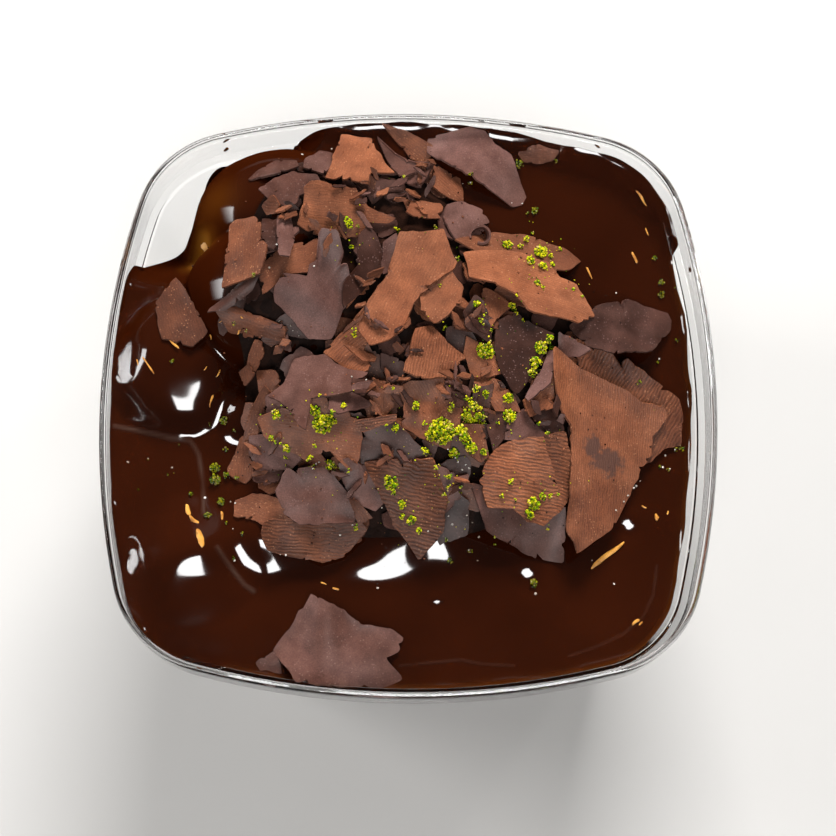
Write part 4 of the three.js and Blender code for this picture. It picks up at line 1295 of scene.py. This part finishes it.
def shavingFinish(name, torn):
    look = shavingColours[name]
    roughness = look["roughness"] + (0.2 if torn else 0)
    material, tree, shader = newMaterial(
        name + ("Torn" if torn else "Shaving"), Roughness=roughness,
        Specular_IOR_Level=look["gloss"])
    place = objectCoordinates(tree)
    uv = addNode(tree, "TexCoord").outputs["UV"]
    colour = addRamp(tree, attributeValue(tree, "tone"), zip((0, 0.5, 1), look["tones"]))
    cloud = addNoise(tree, place, 260, detail=4)
    shade = addRamp(tree, cloud, [(0.3, (0.74, 0.72, 0.72)), (0.7, (1.14, 1.12, 1.1))])
    colour = mixColours(tree, 1.0, colour, shade, "MULTIPLY")
    haze = addRamp(tree, addNoise(tree, place, 130, detail=5), [(0.42, (0, 0, 0)), (0.66, (1, 1, 1))])
    bare = addRamp(tree, attributeValue(tree, "tone"), [(0.2, (1, 1, 1)), (1, (0.1, 0.1, 0.1))])
    amount = multiply(tree, multiply(tree, haze, bare), look["haze"])
    colour = mixColours(tree, amount, colour, (*look["bloom"], 1))
    grains = addNoise(tree, place, 4200, detail=2, roughness=0.7)
    fine = addRamp(tree, grains, [(0.34, (0.8, 0.8, 0.8)), (0.66, (1.2, 1.2, 1.2))])
    colour = mixColours(tree, 1.0, colour, fine, "MULTIPLY")
    dots = addNode(tree, "TexVoronoi", {"Vector": place, "Scale": 1700.0}).outputs["Distance"]
    dust = addRamp(tree, dots, [(0.14, (1, 1, 1)), (0.26, (0, 0, 0))])
    dusty = addRamp(tree, addNoise(tree, place, 420), [(0.42, (0, 0, 0)), (0.6, (1, 1, 1))])
    amount = multiply(tree, multiply(tree, dust, dusty), 0.9 if torn else 0.6)
    colour = mixColours(tree, amount, colour, (*look["bloom"], 1))
    wave = addNode(tree, "TexWave", {
        "Vector": uv, "Scale": 0.314, "Distortion": 7.0, "Detail": 3.0, "Detail Scale": 0.7},
        bands_direction="X").outputs["Fac"]
    stretched = addNode(tree, "Mapping", {"Vector": uv, "Scale": (1.25, 0.28, 1)}).outputs[0]
    streaks = addNoise(tree, stretched, 1, detail=3, roughness=0.6)
    crepe = addMath(tree, "ADD", multiply(tree, wave, 0.34), streaks)
    ribs = multiply(tree, crepe, attributeValue(tree, "ribs"))
    if name == "milk":
        # painted shade: the milk shavings are darker in the hollows between their ridges
        paintedRibShade = addRamp(tree, crepe, [(0.4, (0.5, 0.48, 0.46)), (0.8, (1.1, 1.1, 1.1))])
        shaded = mixColours(tree, 1.0, colour, paintedRibShade, "MULTIPLY")
        colour = mixColours(tree, attributeValue(tree, "ribs"), colour, shaded)
        for blot in blots:
            (px, py), (rx, ry) = blot["at"], blot["reach"]
            centred = addNode(tree, "Mapping", {
                "Vector": place, "Location": (-px * mm, -py * mm, 0)}).outputs[0]
            scaled = addNode(tree, "Mapping", {
                "Vector": centred, "Scale": (1 / rx / mm, 1 / ry / mm, 0)}).outputs[0]
            away = addNode(tree, "VectorMath", {0: scaled}, operation="LENGTH").outputs["Value"]
            rough = multiply(tree, addNoise(tree, place, 700), 0.9)
            ragged = addMath(tree, "ADD", away, rough)
            spot = addRamp(tree, ragged, [(0.8, (1, 1, 1)), (1.0, (0, 0, 0))])
            colour = mixColours(tree, multiply(tree, spot, 0.85), colour, (0.07, 0.034, 0.026, 1))
    normal = addBump(tree, ribs, look["ridge"])
    pits = addNoise(tree, place, 1300, detail=4, roughness=0.7)
    normal = addBump(tree, pits, 0.14 if torn else 0.07, 0.8, normal)
    connect(tree, shader, Base_Color=colour, Normal=normal)
    return material


# Crumbs: one rough little lump, copied with its own squash, turn and dents

# Clumps of chopped pistachio on the heap: place as seen from the camera like the shavings'
# corners, reach and tone from green to pale, where it isn't the usual one
pistachioClumps = [
    (5.8, -9.8, 2.3), (3.8, -10.5, 1), (7.9, -14, 0.9), (3.1, -13.3, 0.8), (2.8, -8.5, 0.4),
    (10.9, -5.8, 1.4), (12.3, -7.6, 1.2), (10, -7.5, 0.9), (9.1, -9.7, 1.1), (9.8, -11.2, 1),
    (10.9, -12.8, 1), (13, -13.5, 0.6), (11.8, -2, 0.7), (13.4, -3, 0.6), (10.4, -3.9, 0.6),
    (7.3, -5.8, 0.6), (17.5, -7, 1.2), (17.3, -3.7, 0.9, 0.9), (1.3, -5.1, 0.5), (24, -10, 0.4),
    (22.6, -8.3, 0.3), (21.5, -22.7, 1.1), (20.8, -24.5, 0.8), (23.1, -21.3, 0.6),
    (24.3, -21.3, 0.4), (17.7, -18.8, 0.5), (16.1, -21.3, 0.4), (18.4, -22, 0.3),
    (25.7, -20.9, 0.3), (23.8, -27, 0.3), (0.6, -25.8, 0.8), (1.9, -27.6, 0.5), (7, -18, 0.5),
    (6.9, -19.6, 0.4), (6.2, -21.1, 0.4), (4.7, -16.4, 0.4), (40.4, -0.5, 0.3), (15.5, -8.2, 0.3),
    (-16.2, -6.3, 0.9), (-14.9, -8.7, 1.7), (-13.2, -7.9, 0.9), (-23, -7.2, 0.8),
    (-23.8, -11.5, 0.5), (-23, -12.1, 0.3), (-21.1, -13.4, 0.8), (-16.2, -12.6, 0.4),
    (-16.9, -15.1, 0.6, 0.35), (-13.3, -16, 0.9, 0.3), (-11.3, -5.3, 0.5, 0.3), (-3.8, -9.5, 0.3),
    (-2.3, -9.3, 0.6), (1.2, -5, 0.7), (-15.4, -4, 0.3), (-10.3, -16.9, 0.3), (-8.7, -27.2, 0.4),
    (-2.9, -19.2, 1.2), (-2.4, -20.9, 0.5), (-1, -23, 0.7), (-1, -25.1, 0.5), (-2.8, -2.2, 0.3),
    (-11.2, 29.2, 0.8, 0.45), (-9.5, 28.8, 0.3), (-9.8, 8.7, 0.6), (-2.5, 28.4, 0.5, 0.9),
    (-10.5, 23.9, 0.5, 0.9), (-1.4, 38.8, 0.3), (17.4, 25.4, 0.9), (19.8, 25.1, 0.5),
    (20.9, 26.5, 0.6), (22, 27.8, 0.3), (23.4, 24.1, 1.2), (23.7, 21.3, 0.8), (21.6, 22.3, 0.8),
    (25.4, 21.7, 0.5), (25.2, 23.2, 0.5), (26.9, 24.7, 0.4), (22.8, 18.1, 0.6), (23.7, 17.4, 0.4),
    (29.1, 16.9, 0.4), (30.7, 15.5, 0.3), (11.8, 13.8, 0.6), (12.7, 11, 0.6), (14.5, 8.9, 0.3),
    (18.4, 14, 0.8), (18.9, 12.2, 0.3), (20.1, 10.9, 0.3), (13.4, 5.1, 1.6, 0.45),
    (24.8, 7.3, 0.9), (23.1, 5.7, 1.1), (22.2, 2.9, 1), (21.6, 1.2, 0.8), (6.2, 9.5, 0.4),
    (5.3, 17.4, 0.3), (8.5, 22.6, 0.4, 0.9), (4.5, 28.6, 0.4),
]
# Crumbs lying in the sauce: place, reach and tone
wetClumps = [
    (-42.4, 4.5, 0.45, 0.2), (-28.8, 8.4, 0.35, 0.4), (-30.9, 9.5, 0.4, 0.45),
    (-27.2, 16.2, 0.5, 0.35), (-34.7, -13.2, 1.1, 0.12), (-34.6, -15.4, 1.2, 0.12),
    (-32.6, -14.6, 0.7, 0.35), (-30.6, -15.2, 0.5, 0.25), (-33.3, -4.8, 0.9, 0.2),
    (-33.3, -19.6, 0.9, 0.4), (-35.4, -22.3, 0.75, 0.7), (-38.8, -18.1, 0.5, 0.97),
    (-32.1, -23.8, 0.35, 0.85), (-29.1, -25.8, 0.4, 0.1), (-30.6, -29.9, 0.3, 0.3),
    (-43, -14.6, 0.25, 0.95), (-41.9, -14.4, 0.2, 0.95), (-41.4, -9.1, 0.2, 0.95),
    (-46.9, -11.7, 0.25, 0.95), (-48.2, -17.5, 0.25, 0.9), (-35.9, -5.4, 0.3, 0.85),
    (-33, -9.7, 0.5, 0.9), (-31.4, -6.6, 0.35, 0.95), (20.6, 46.9, 0.9, 0.9),
    (27.5, 47.8, 0.5, 0.5), (23.4, 37.7, 0.8, 0.25), (22, 37.2, 0.4, 0.35),
    (47.2, 24.5, 0.7, 0.2), (47.2, 22.1, 0.8, 0.25), (49.8, 23.6, 0.3, 0.3), (49.8, 13, 0.6, 0.6),
    (46.2, 9, 0.4, 0.97), (46, 29.2, 0.5, 0.8), (48.4, 29.1, 0.3, 0.8), (11.2, 43.1, 0.6, 0.95),
    (50.2, -7.3, 0.7, 0.3), (45.9, -10.8, 0.4, 0.5), (47.5, -11.4, 0.4, 0.6),
    (49, -7.7, 0.4, 0.9), (22.5, -32.9, 0.9, 0.97), (15.6, -25.9, 0.4, 0.3),
    (11.2, -27.4, 0.5, 0.35), (7.6, -29.3, 0.6, 0.15), (6.8, -26.6, 0.4, 0.3),
    (9.2, -18.8, 0.5, 0.5),
]

# Painted glints: tiny pale beads whose colour stands in for the sparkle of light on the wet sauce, placed
# as seen like the clumps
glints = [
    (7, -24.5), (10.1, -24.7), (11, -25.9), (12.1, -28.5), (10.4, -30.8), (11.9, -32.6),
    (7.6, -26.4), (36.9, -22.1), (37.6, -21.1), (38.4, -20.2), (39.1, -19.3), (39.8, -18.4),
    (35.5, -23.6), (44.3, -13.8), (43.8, -15.9), (45, -16.2), (46.1, -12.6), (31.2, -32.4),
    (34.8, -36.4), (21.6, -38.2), (-44.7, -15.2), (-34.6, -22.1), (-29.1, -33), (-4.9, -37.5),
    (-21.4, -31.9), (-22.8, -31.9), (-20.5, -32), (-16.5, -16.1), (-15.8, -15.9), (-15.3, -15.6),
    (-30.2, -22.8), (-29.6, -27.5), (-29.4, -23), (18.3, 33.7), (20.2, 33.6), (36.7, 16.3),
    (43.9, 3.9), (10.8, 37.7), (9.5, 38.9), (23.2, 8.6), (-24, 25), (-17.2, 20.9), (-25.2, 20.5),
    (-23, 10.3), (-21, 9.5), (-19.5, 7.6), (-20.6, 8.7), (-14.6, 44.2), (9.9, -15.8),
    (10.5, -16.4), (9.3, -16.7), (8.6, -15.3), (8.1, -14.6), (6.8, -13.9), (-20, 43.1),
    (-11.4, -28.4), (-9.4, -26.3), (-4.4, -23.6), (3.5, -27.6), (-7.5, -0.5), (-10, 0),
    (48.6, -0.9), (48.3, -2.9), (48.4, -5.5), (-40.5, -16.8), (-48.1, -15.9),
]

crumbs = {
    "size": (0.1, 0.28),  # radius of the pistachio crumbs
    "crowd": 85,  # crumbs per square of a clump's radius
    "tone": 0.7,
    "toneSpread": 0.12,
    "wetReach": 0.8,  # share of the reach left in the sauce
    "dust": 260,  # single green specks near the clumps
    "dustSize": (0.07, 0.16),
    "dustSpread": 2.6,
    "chocolate": 160,
    "chocolateSize": (0.08, 0.26),
    "bubbles": 130,  # in the sauce around the heap
    "bubbleSize": (0.08, 0.2),
    "bubbleHighest": 58,
    "glintSize": (0.12, 0.26),
}


def layCrumb(template, x, y, size, draw, squash=1.0, sunk=0.35, rough=0.28):
    copy = copyOf(template)
    ball = getPoints(template)
    ball = ball * (1 + rough * (draw.random(len(ball)) - 0.5))[:, None]
    turn = Matrix.Rotation(draw.uniform(0, fullTurn), 3, "Z")
    turn = turn @ Matrix.Rotation(draw.uniform(0, fullTurn), 3, "X")
    stretch = size * draw.uniform(0.75, 1.25, 3)
    points = (ball * stretch) @ np.array(turn).T
    points[:, 2] *= squash
    cell = cellOf(x, y)
    z = ground[cell] + size * squash * (1 - 2 * sunk)
    setPoints(copy, points + (x, y, z))
    setAttribute(copy, "tone", draw.random())
    ground[cell] = max(ground[cell], z + 0.4 * size)  # the next one lies partly on it
    return copy


def joinCrumbs(name, parts, finish, slot):
    piece = joinParts(name, parts, finish)
    shadeSmooth(piece, 55)
    placePiece(piece, slot)


# Where the line of sight through a place seen on the level plane meets the heap
def seenPlace(x, y):
    eye = shavingForm["eye"]
    z = shavingForm["seenAt"]
    for _ in range(5):  # closer each time
        scale = (eye[2] - z) / (eye[2] - shavingForm["seenAt"])
        px, py = eye[0] + (x - eye[0]) * scale, eye[1] + (y - eye[1]) * scale
        z = ground[cellOf(px, py)]
    return px, py


def layClump(template, x, y, reach, tone, draw):
    parts = []
    for _ in range(max(2, round(crumbs["crowd"] * reach**2))):
        angle, away = draw.uniform(0, fullTurn), reach * draw.random() ** 0.6
        size = draw.uniform(*crumbs["size"]) * min(1, 0.5 + 0.5 * reach)
        px, py = x + away * math.cos(angle), y + away * math.sin(angle)
        crumb = layCrumb(template, px, py, size, draw)
        setAttribute(crumb, "tone", np.clip(tone + draw.normal(0, crumbs["toneSpread"]), 0, 1))
        parts.append(crumb)
    return parts


def makeCrumbs():
    draw = np.random.default_rng(5)
    template = addBall(1)
    parts = []
    for x, y, reach, *tone in pistachioClumps:
        tone = tone[0] if tone else crumbs["tone"]
        parts += layClump(template, *seenPlace(x, y), reach, tone, draw)
    for _ in range(crumbs["dust"]):
        near = pistachioClumps[draw.integers(0, len(pistachioClumps))]
        dx, dy = draw.normal(0, crumbs["dustSpread"], 2)
        size = draw.uniform(*crumbs["dustSize"])
        parts.append(layCrumb(template, *seenPlace(near[0] + dx, near[1] + dy), size, draw))
    dry = pistachioFinish("choppedPistachio", roughness=0.65, gloss=0.12, bright=1.1)
    joinCrumbs("pistachioCrumbs", parts, dry, "pistachio")
    parts = []
    for x, y, reach, tone in wetClumps:
        parts += layClump(template, x, y, reach * crumbs["wetReach"], tone, draw)
    wet = pistachioFinish("wetPistachio", roughness=0.22, gloss=0.5, bright=0.4)
    joinCrumbs("wetCrumbs", parts, wet, "pistachio")
    parts = []
    for _ in range(crumbs["chocolate"]):
        angle = draw.uniform(0, fullTurn)
        x, y = fromMiddle(heapReach(angle) * 1.05 * math.sqrt(draw.random()), angle)
        size = draw.uniform(*crumbs["chocolateSize"])
        parts.append(layCrumb(template, x, y, size, draw, squash=0.7, rough=0.5))
    joinCrumbs("chocolateCrumbs", parts, shavingFinishes["milkTorn"], "chocolate_shavings")
    parts = []
    for _ in range(crumbs["bubbles"]):
        angle = draw.uniform(0, fullTurn)
        x, y = fromMiddle(heapReach(angle) + draw.normal(1.5, 3), angle)
        if math.hypot(x, y) > 50 or ground[cellOf(x, y)] > crumbs["bubbleHighest"]:
            continue  # too near the wall, or on the heap
        size = draw.uniform(*crumbs["bubbleSize"])
        parts.append(layCrumb(template, x, y, size, draw, sunk=0.5, rough=0.1))
    joinCrumbs("sauceBubbles", parts, sauceFinish, "chocolate_sauce")
    parts = []
    # painted highlights: pale beads for the glints
    for x, y in glints:
        x, y = seenPlace(x, y)
        size = draw.uniform(*crumbs["glintSize"])
        parts.append(layCrumb(template, x, y, size, draw, squash=0.7, sunk=0.3, rough=0.1))
    joinCrumbs("paintedGlintBeads", parts, paintedGlintFinish(), "chocolate_sauce")
    bpy.data.objects.remove(template)


# painted highlight: a pale colour that stands in for the sparkle of light
def paintedGlintFinish():
    material, tree, shader = newMaterial("glintPaint", Roughness=0.12, IOR=1.5)
    colour = addRamp(tree, addNoise(tree, objectCoordinates(tree), 900), [
        (0.35, (0.3, 0.22, 0.15)), (0.65, (0.85, 0.8, 0.75))])
    connect(tree, shader, Base_Color=colour)
    return material


def pistachioFinish(name, roughness, gloss, bright):
    material, tree, shader = newMaterial(name, Roughness=roughness, Specular_IOR_Level=gloss)
    place = objectCoordinates(tree)
    colour = addRamp(tree, attributeValue(tree, "tone"), [
        (0, (0.012, 0.035, 0.002)), (0.25, (0.16, 0.3, 0.002)), (0.6, (0.56, 0.54, 0.003)),
        (0.85, (0.66, 0.56, 0.02)), (1, (0.5, 0.36, 0.14))])
    shade = addRamp(tree, addNoise(tree, place, 1400), [
        (0.3, (0.88 * bright, 0.9 * bright, 0.7 * bright)), (0.7, (1.15 * bright,) * 3)])
    colour = mixColours(tree, 1.0, colour, shade, "MULTIPLY")
    normal = addBump(tree, addNoise(tree, place, 2600, detail=3), 0.12)
    connect(tree, shader, Base_Color=colour, Normal=normal)
    return material


sliverForm = {
    "blunt": 0.6,  # the lower, the fuller the ends
    "uneven": 0.25, "unevenLength": 1.4,
    "bow": 0.05, "crook": 0.035,  # shares of the length
    "flat": 0.6,  # thickness as a share of the width
    "sits": 0.2,  # height of the middle over the sauce, as a share of half the width
}

# Thin tan slivers on the sauce: start, end and half width
slivers = [
    ((-43.2, 8.3), (-41.2, 6.6), 0.2), ((-47.7, 5.7), (-45.4, 2.4), 0.16),
    ((-35.1, 1.2), (-35.8, -3.1), 0.12), ((-33.9, 3.8), (-34.8, 2.3), 0.13),
    ((-36.3, 4), (-36.8, 3.2), 0.09), ((-53.1, 8), (-52.9, 6.7), 0.12),
    ((-49, 5.4), (-48.7, 4.1), 0.11), ((-36, 10.3), (-35.7, 8.6), 0.11),
    ((-33.6, 9.6), (-32.6, 10.5), 0.1), ((-29.5, 9.8), (-30.3, 7.8), 0.13),
    ((-29.8, 10.6), (-29.3, 10.2), 0.12), ((-39.3, -20.3), (-38.2, -23.1), 0.4),
    ((-38.6, -22.6), (-36.8, -24.1), 0.36), ((-36.8, -25.2), (-36, -28.9), 0.52),
    ((-33.1, -21.5), (-32.8, -23.5), 0.28), ((-15.3, -33.5), (-14.2, -33.9), 0.15),
    ((-13.2, -34.4), (-12, -34.8), 0.19), ((-52.5, -15), (-52.3, -16.7), 0.12),
    ((39.2, 46.3), (40.6, 44.8), 0.13), ((40.6, 44.8), (44.9, 39.3), 0.18),
    ((44.4, 35.3), (45, 33.5), 0.13), ((41.6, 30.4), (42.5, 27.8), 0.26),
    ((32.5, 27.4), (34, 24.4), 0.16), ((32.3, -31.1), (39.2, -24.9), 0.37),
    ((45.1, -19.5), (45.1, -20.9), 0.33), ((47.3, -18.9), (47.1, -19.7), 0.15),
    ((40.1, -40), (41.4, -38.9), 0.38), ((41.3, -40), (42, -39.3), 0.15),
    ((46, -35.4), (45.9, -36.6), 0.22), ((42.4, -18.1), (43.4, -18.6), 0.14),
]


def makeSlivers():
    draw = np.random.default_rng(9)
    template = addBall(2)
    ball = getPoints(template)
    parts = []
    for (ax, ay), (bx, by), width in slivers:
        copy = copyOf(template)
        length = math.hypot(bx - ax, by - ay)
        dx, dy = (bx - ax) / length, (by - ay) / length
        along = np.sign(ball[:, 0]) * np.abs(ball[:, 0]) ** sliverForm["blunt"] * length / 2
        seed = int(draw.integers(1, 999))
        waves = ripples(along, 0 * along, sliverForm["unevenLength"], seed, octaves=2)
        bow = sliverForm["bow"] * length * np.cos(along / length * math.pi) * draw.choice([-1, 1])
        crook = ripples(along, 0 * along, 0.7 * length, seed + 1, octaves=2)
        aside = ball[:, 1] * width * (1 + sliverForm["uneven"] * waves) + bow
        aside = aside + sliverForm["crook"] * length * crook
        x = (ax + bx) / 2 + along * dx - aside * dy
        y = (ay + by) / 2 + along * dy + aside * dx
        z = ground[cellOf(x, y)].mean() + sliverForm["sits"] * width
        z = z + ball[:, 2] * width * sliverForm["flat"]
        setPoints(copy, np.column_stack([x, y, z]))
        parts.append(copy)
    joinCrumbs("slenderTanBits", parts, sliverFinish(), "coated_choux")
    bpy.data.objects.remove(template)


def sliverFinish():
    material, tree, shader = newMaterial("tanSliver", Roughness=0.5)
    place = objectCoordinates(tree)
    colour = addRamp(tree, addNoise(tree, place, 500, detail=3), [
        (0.35, (0.36, 0.13, 0.016)), (0.62, (0.78, 0.36, 0.06))])
    normal = addBump(tree, addNoise(tree, place, 1800), 0.08)
    connect(tree, shader, Base_Color=colour, Normal=normal)
    return material


# Smears of sauce left on the wall above the pool: a place towards which they lie, their
# height, and half their own width and height
smears = [
    {"at": (-34.4, 48.9), "z": 58.6, "size": (0.8, 0.35)},
    {"at": (-33.6, 47.2), "z": 55.2, "size": (0.55, 0.8)},
    {"at": (36.4, 51.4), "z": 58, "size": (0.7, 0.4)},
    {"at": (51.2, 24.5), "z": 57.2, "size": (0.5, 0.9)},
]


def makeSmears():
    draw = np.random.default_rng(13)
    template = addBall(2)
    out, along, up = getPoints(template).T
    parts = []
    for smear in smears:
        copy = copyOf(template)
        angle = math.atan2(smear["at"][1], smear["at"][0])
        seed = int(draw.integers(1, 999))
        ragged = 1 + 0.35 * ripples(along * 3, up * 3, scale=3, seed=seed, octaves=2)
        width, height = smear["size"]
        z = smear["z"] + up * height * ragged
        wall = wallReach(np.full(len(z), angle), innerInset(z))
        reach = wall - 0.1 + out * 0.15  # a film that starts just inside the wall
        x, y = turned(reach, along * width * ragged, angle)
        setPoints(copy, np.column_stack([x, y, z]))
        setAttribute(copy, "film", 0.45)
        parts.append(copy)
    joinCrumbs("sauceSmears", parts, sauceFinish, "chocolate_sauce")
    bpy.data.objects.remove(template)


# Camera, light and floor

camera = {
    "at": (0.582, -94.142, 334.329),
    "lookAt": (1.65, -5.49, 60),
    "roll": 1.21,
    "lens": 70,
    "sensor": 36,
}

studio = {
    # mirrored lamps show in the gloss, and shining ones light what they fall on
    "world": 0.05,
    "key": {"from": (110, 700, 600), "size": (420, 300), "power": 13, "mirrored": False},
    "fill": {"from": (60, -420, 640), "size": (420, 300), "power": 2.8, "mirrored": False},
    "window": {"from": (37, -410, 631), "size": (290, 240), "power": 6.5, "shines": False},
    "side": {"from": (-650, 140, 310), "size": (210, 270), "power": 3},
    "right": {"from": (480, 420, 440), "size": (70, 130), "power": 0.5},
    "strip": {"from": (110, 700, 600), "size": (320, 60), "power": 1.5},
    "floorColour": (0.6, 0.585, 0.565),
}


def makeCamera():
    data = bpy.data.cameras.new("camera")
    data.lens, data.sensor_width = camera["lens"], camera["sensor"]
    obj = bpy.data.objects.new("camera", data)
    bpy.context.collection.objects.link(obj)
    at, target = Vector(camera["at"]) * mm, Vector(camera["lookAt"]) * mm
    turn = (target - at).to_track_quat("-Z", "Y").to_matrix()
    spin = Matrix.Rotation(math.radians(camera["roll"]), 3, "Z")
    obj.matrix_world = Matrix.Translation(at) @ (turn @ spin).to_4x4()
    bpy.context.scene.camera = obj


def makeLight(name, aim=(0, 0, 50)):
    lamp = studio[name]
    data = bpy.data.lights.new(name, "AREA")
    data.shape = "RECTANGLE"
    data.size, data.size_y = lamp["size"][0] * mm, lamp["size"][1] * mm
    data.energy = lamp["power"]
    obj = bpy.data.objects.new(name, data)
    bpy.context.collection.objects.link(obj)
    obj.visible_glossy = lamp.get("mirrored", True)
    obj.visible_diffuse = lamp.get("shines", True)
    obj.location = Vector(lamp["from"]) * mm
    way = Vector(aim) - Vector(lamp["from"])
    obj.rotation_euler = (way * mm).to_track_quat("-Z", "Y").to_euler()


def makeStudio():
    world = bpy.data.worlds.new("studio")
    bpy.context.scene.world = world
    world.use_nodes = True
    grey = studio["world"]
    world.node_tree.nodes["Background"].inputs["Color"].default_value = (grey, grey, grey, 1)
    for name in ("key", "fill", "window", "side", "right", "strip"):
        makeLight(name)
    deselectAll()
    bpy.ops.mesh.primitive_plane_add(size=4, location=(0, 0, -0.02 * mm))
    floor = bpy.context.object
    floor.name = "floor"
    material, tree, shader = newMaterial("paleFloor", Roughness=0.7)
    mottle = addNoise(tree, objectCoordinates(tree), 12, detail=2)
    low = tuple(0.97 * value for value in studio["floorColour"])
    colour = addRamp(tree, mottle, [(0.3, low), (0.7, studio["floorColour"])])
    connect(tree, shader, Base_Color=colour)
    floor.data.materials.append(material)
    bpy.context.scene.view_settings.view_transform = "Standard"


makeCamera()
makeStudio()
makeCup()
sauceFinish = makeSauceFinish()
makeSauce()
makeChoux()
shavingFinishes = {
    name + ("Torn" if torn else ""): shavingFinish(name, torn)
    for name in shavingColours for torn in (False, True)
}
makeCore()
makeShavings()
makeCrumbs()
makeSlivers()
makeSmears()
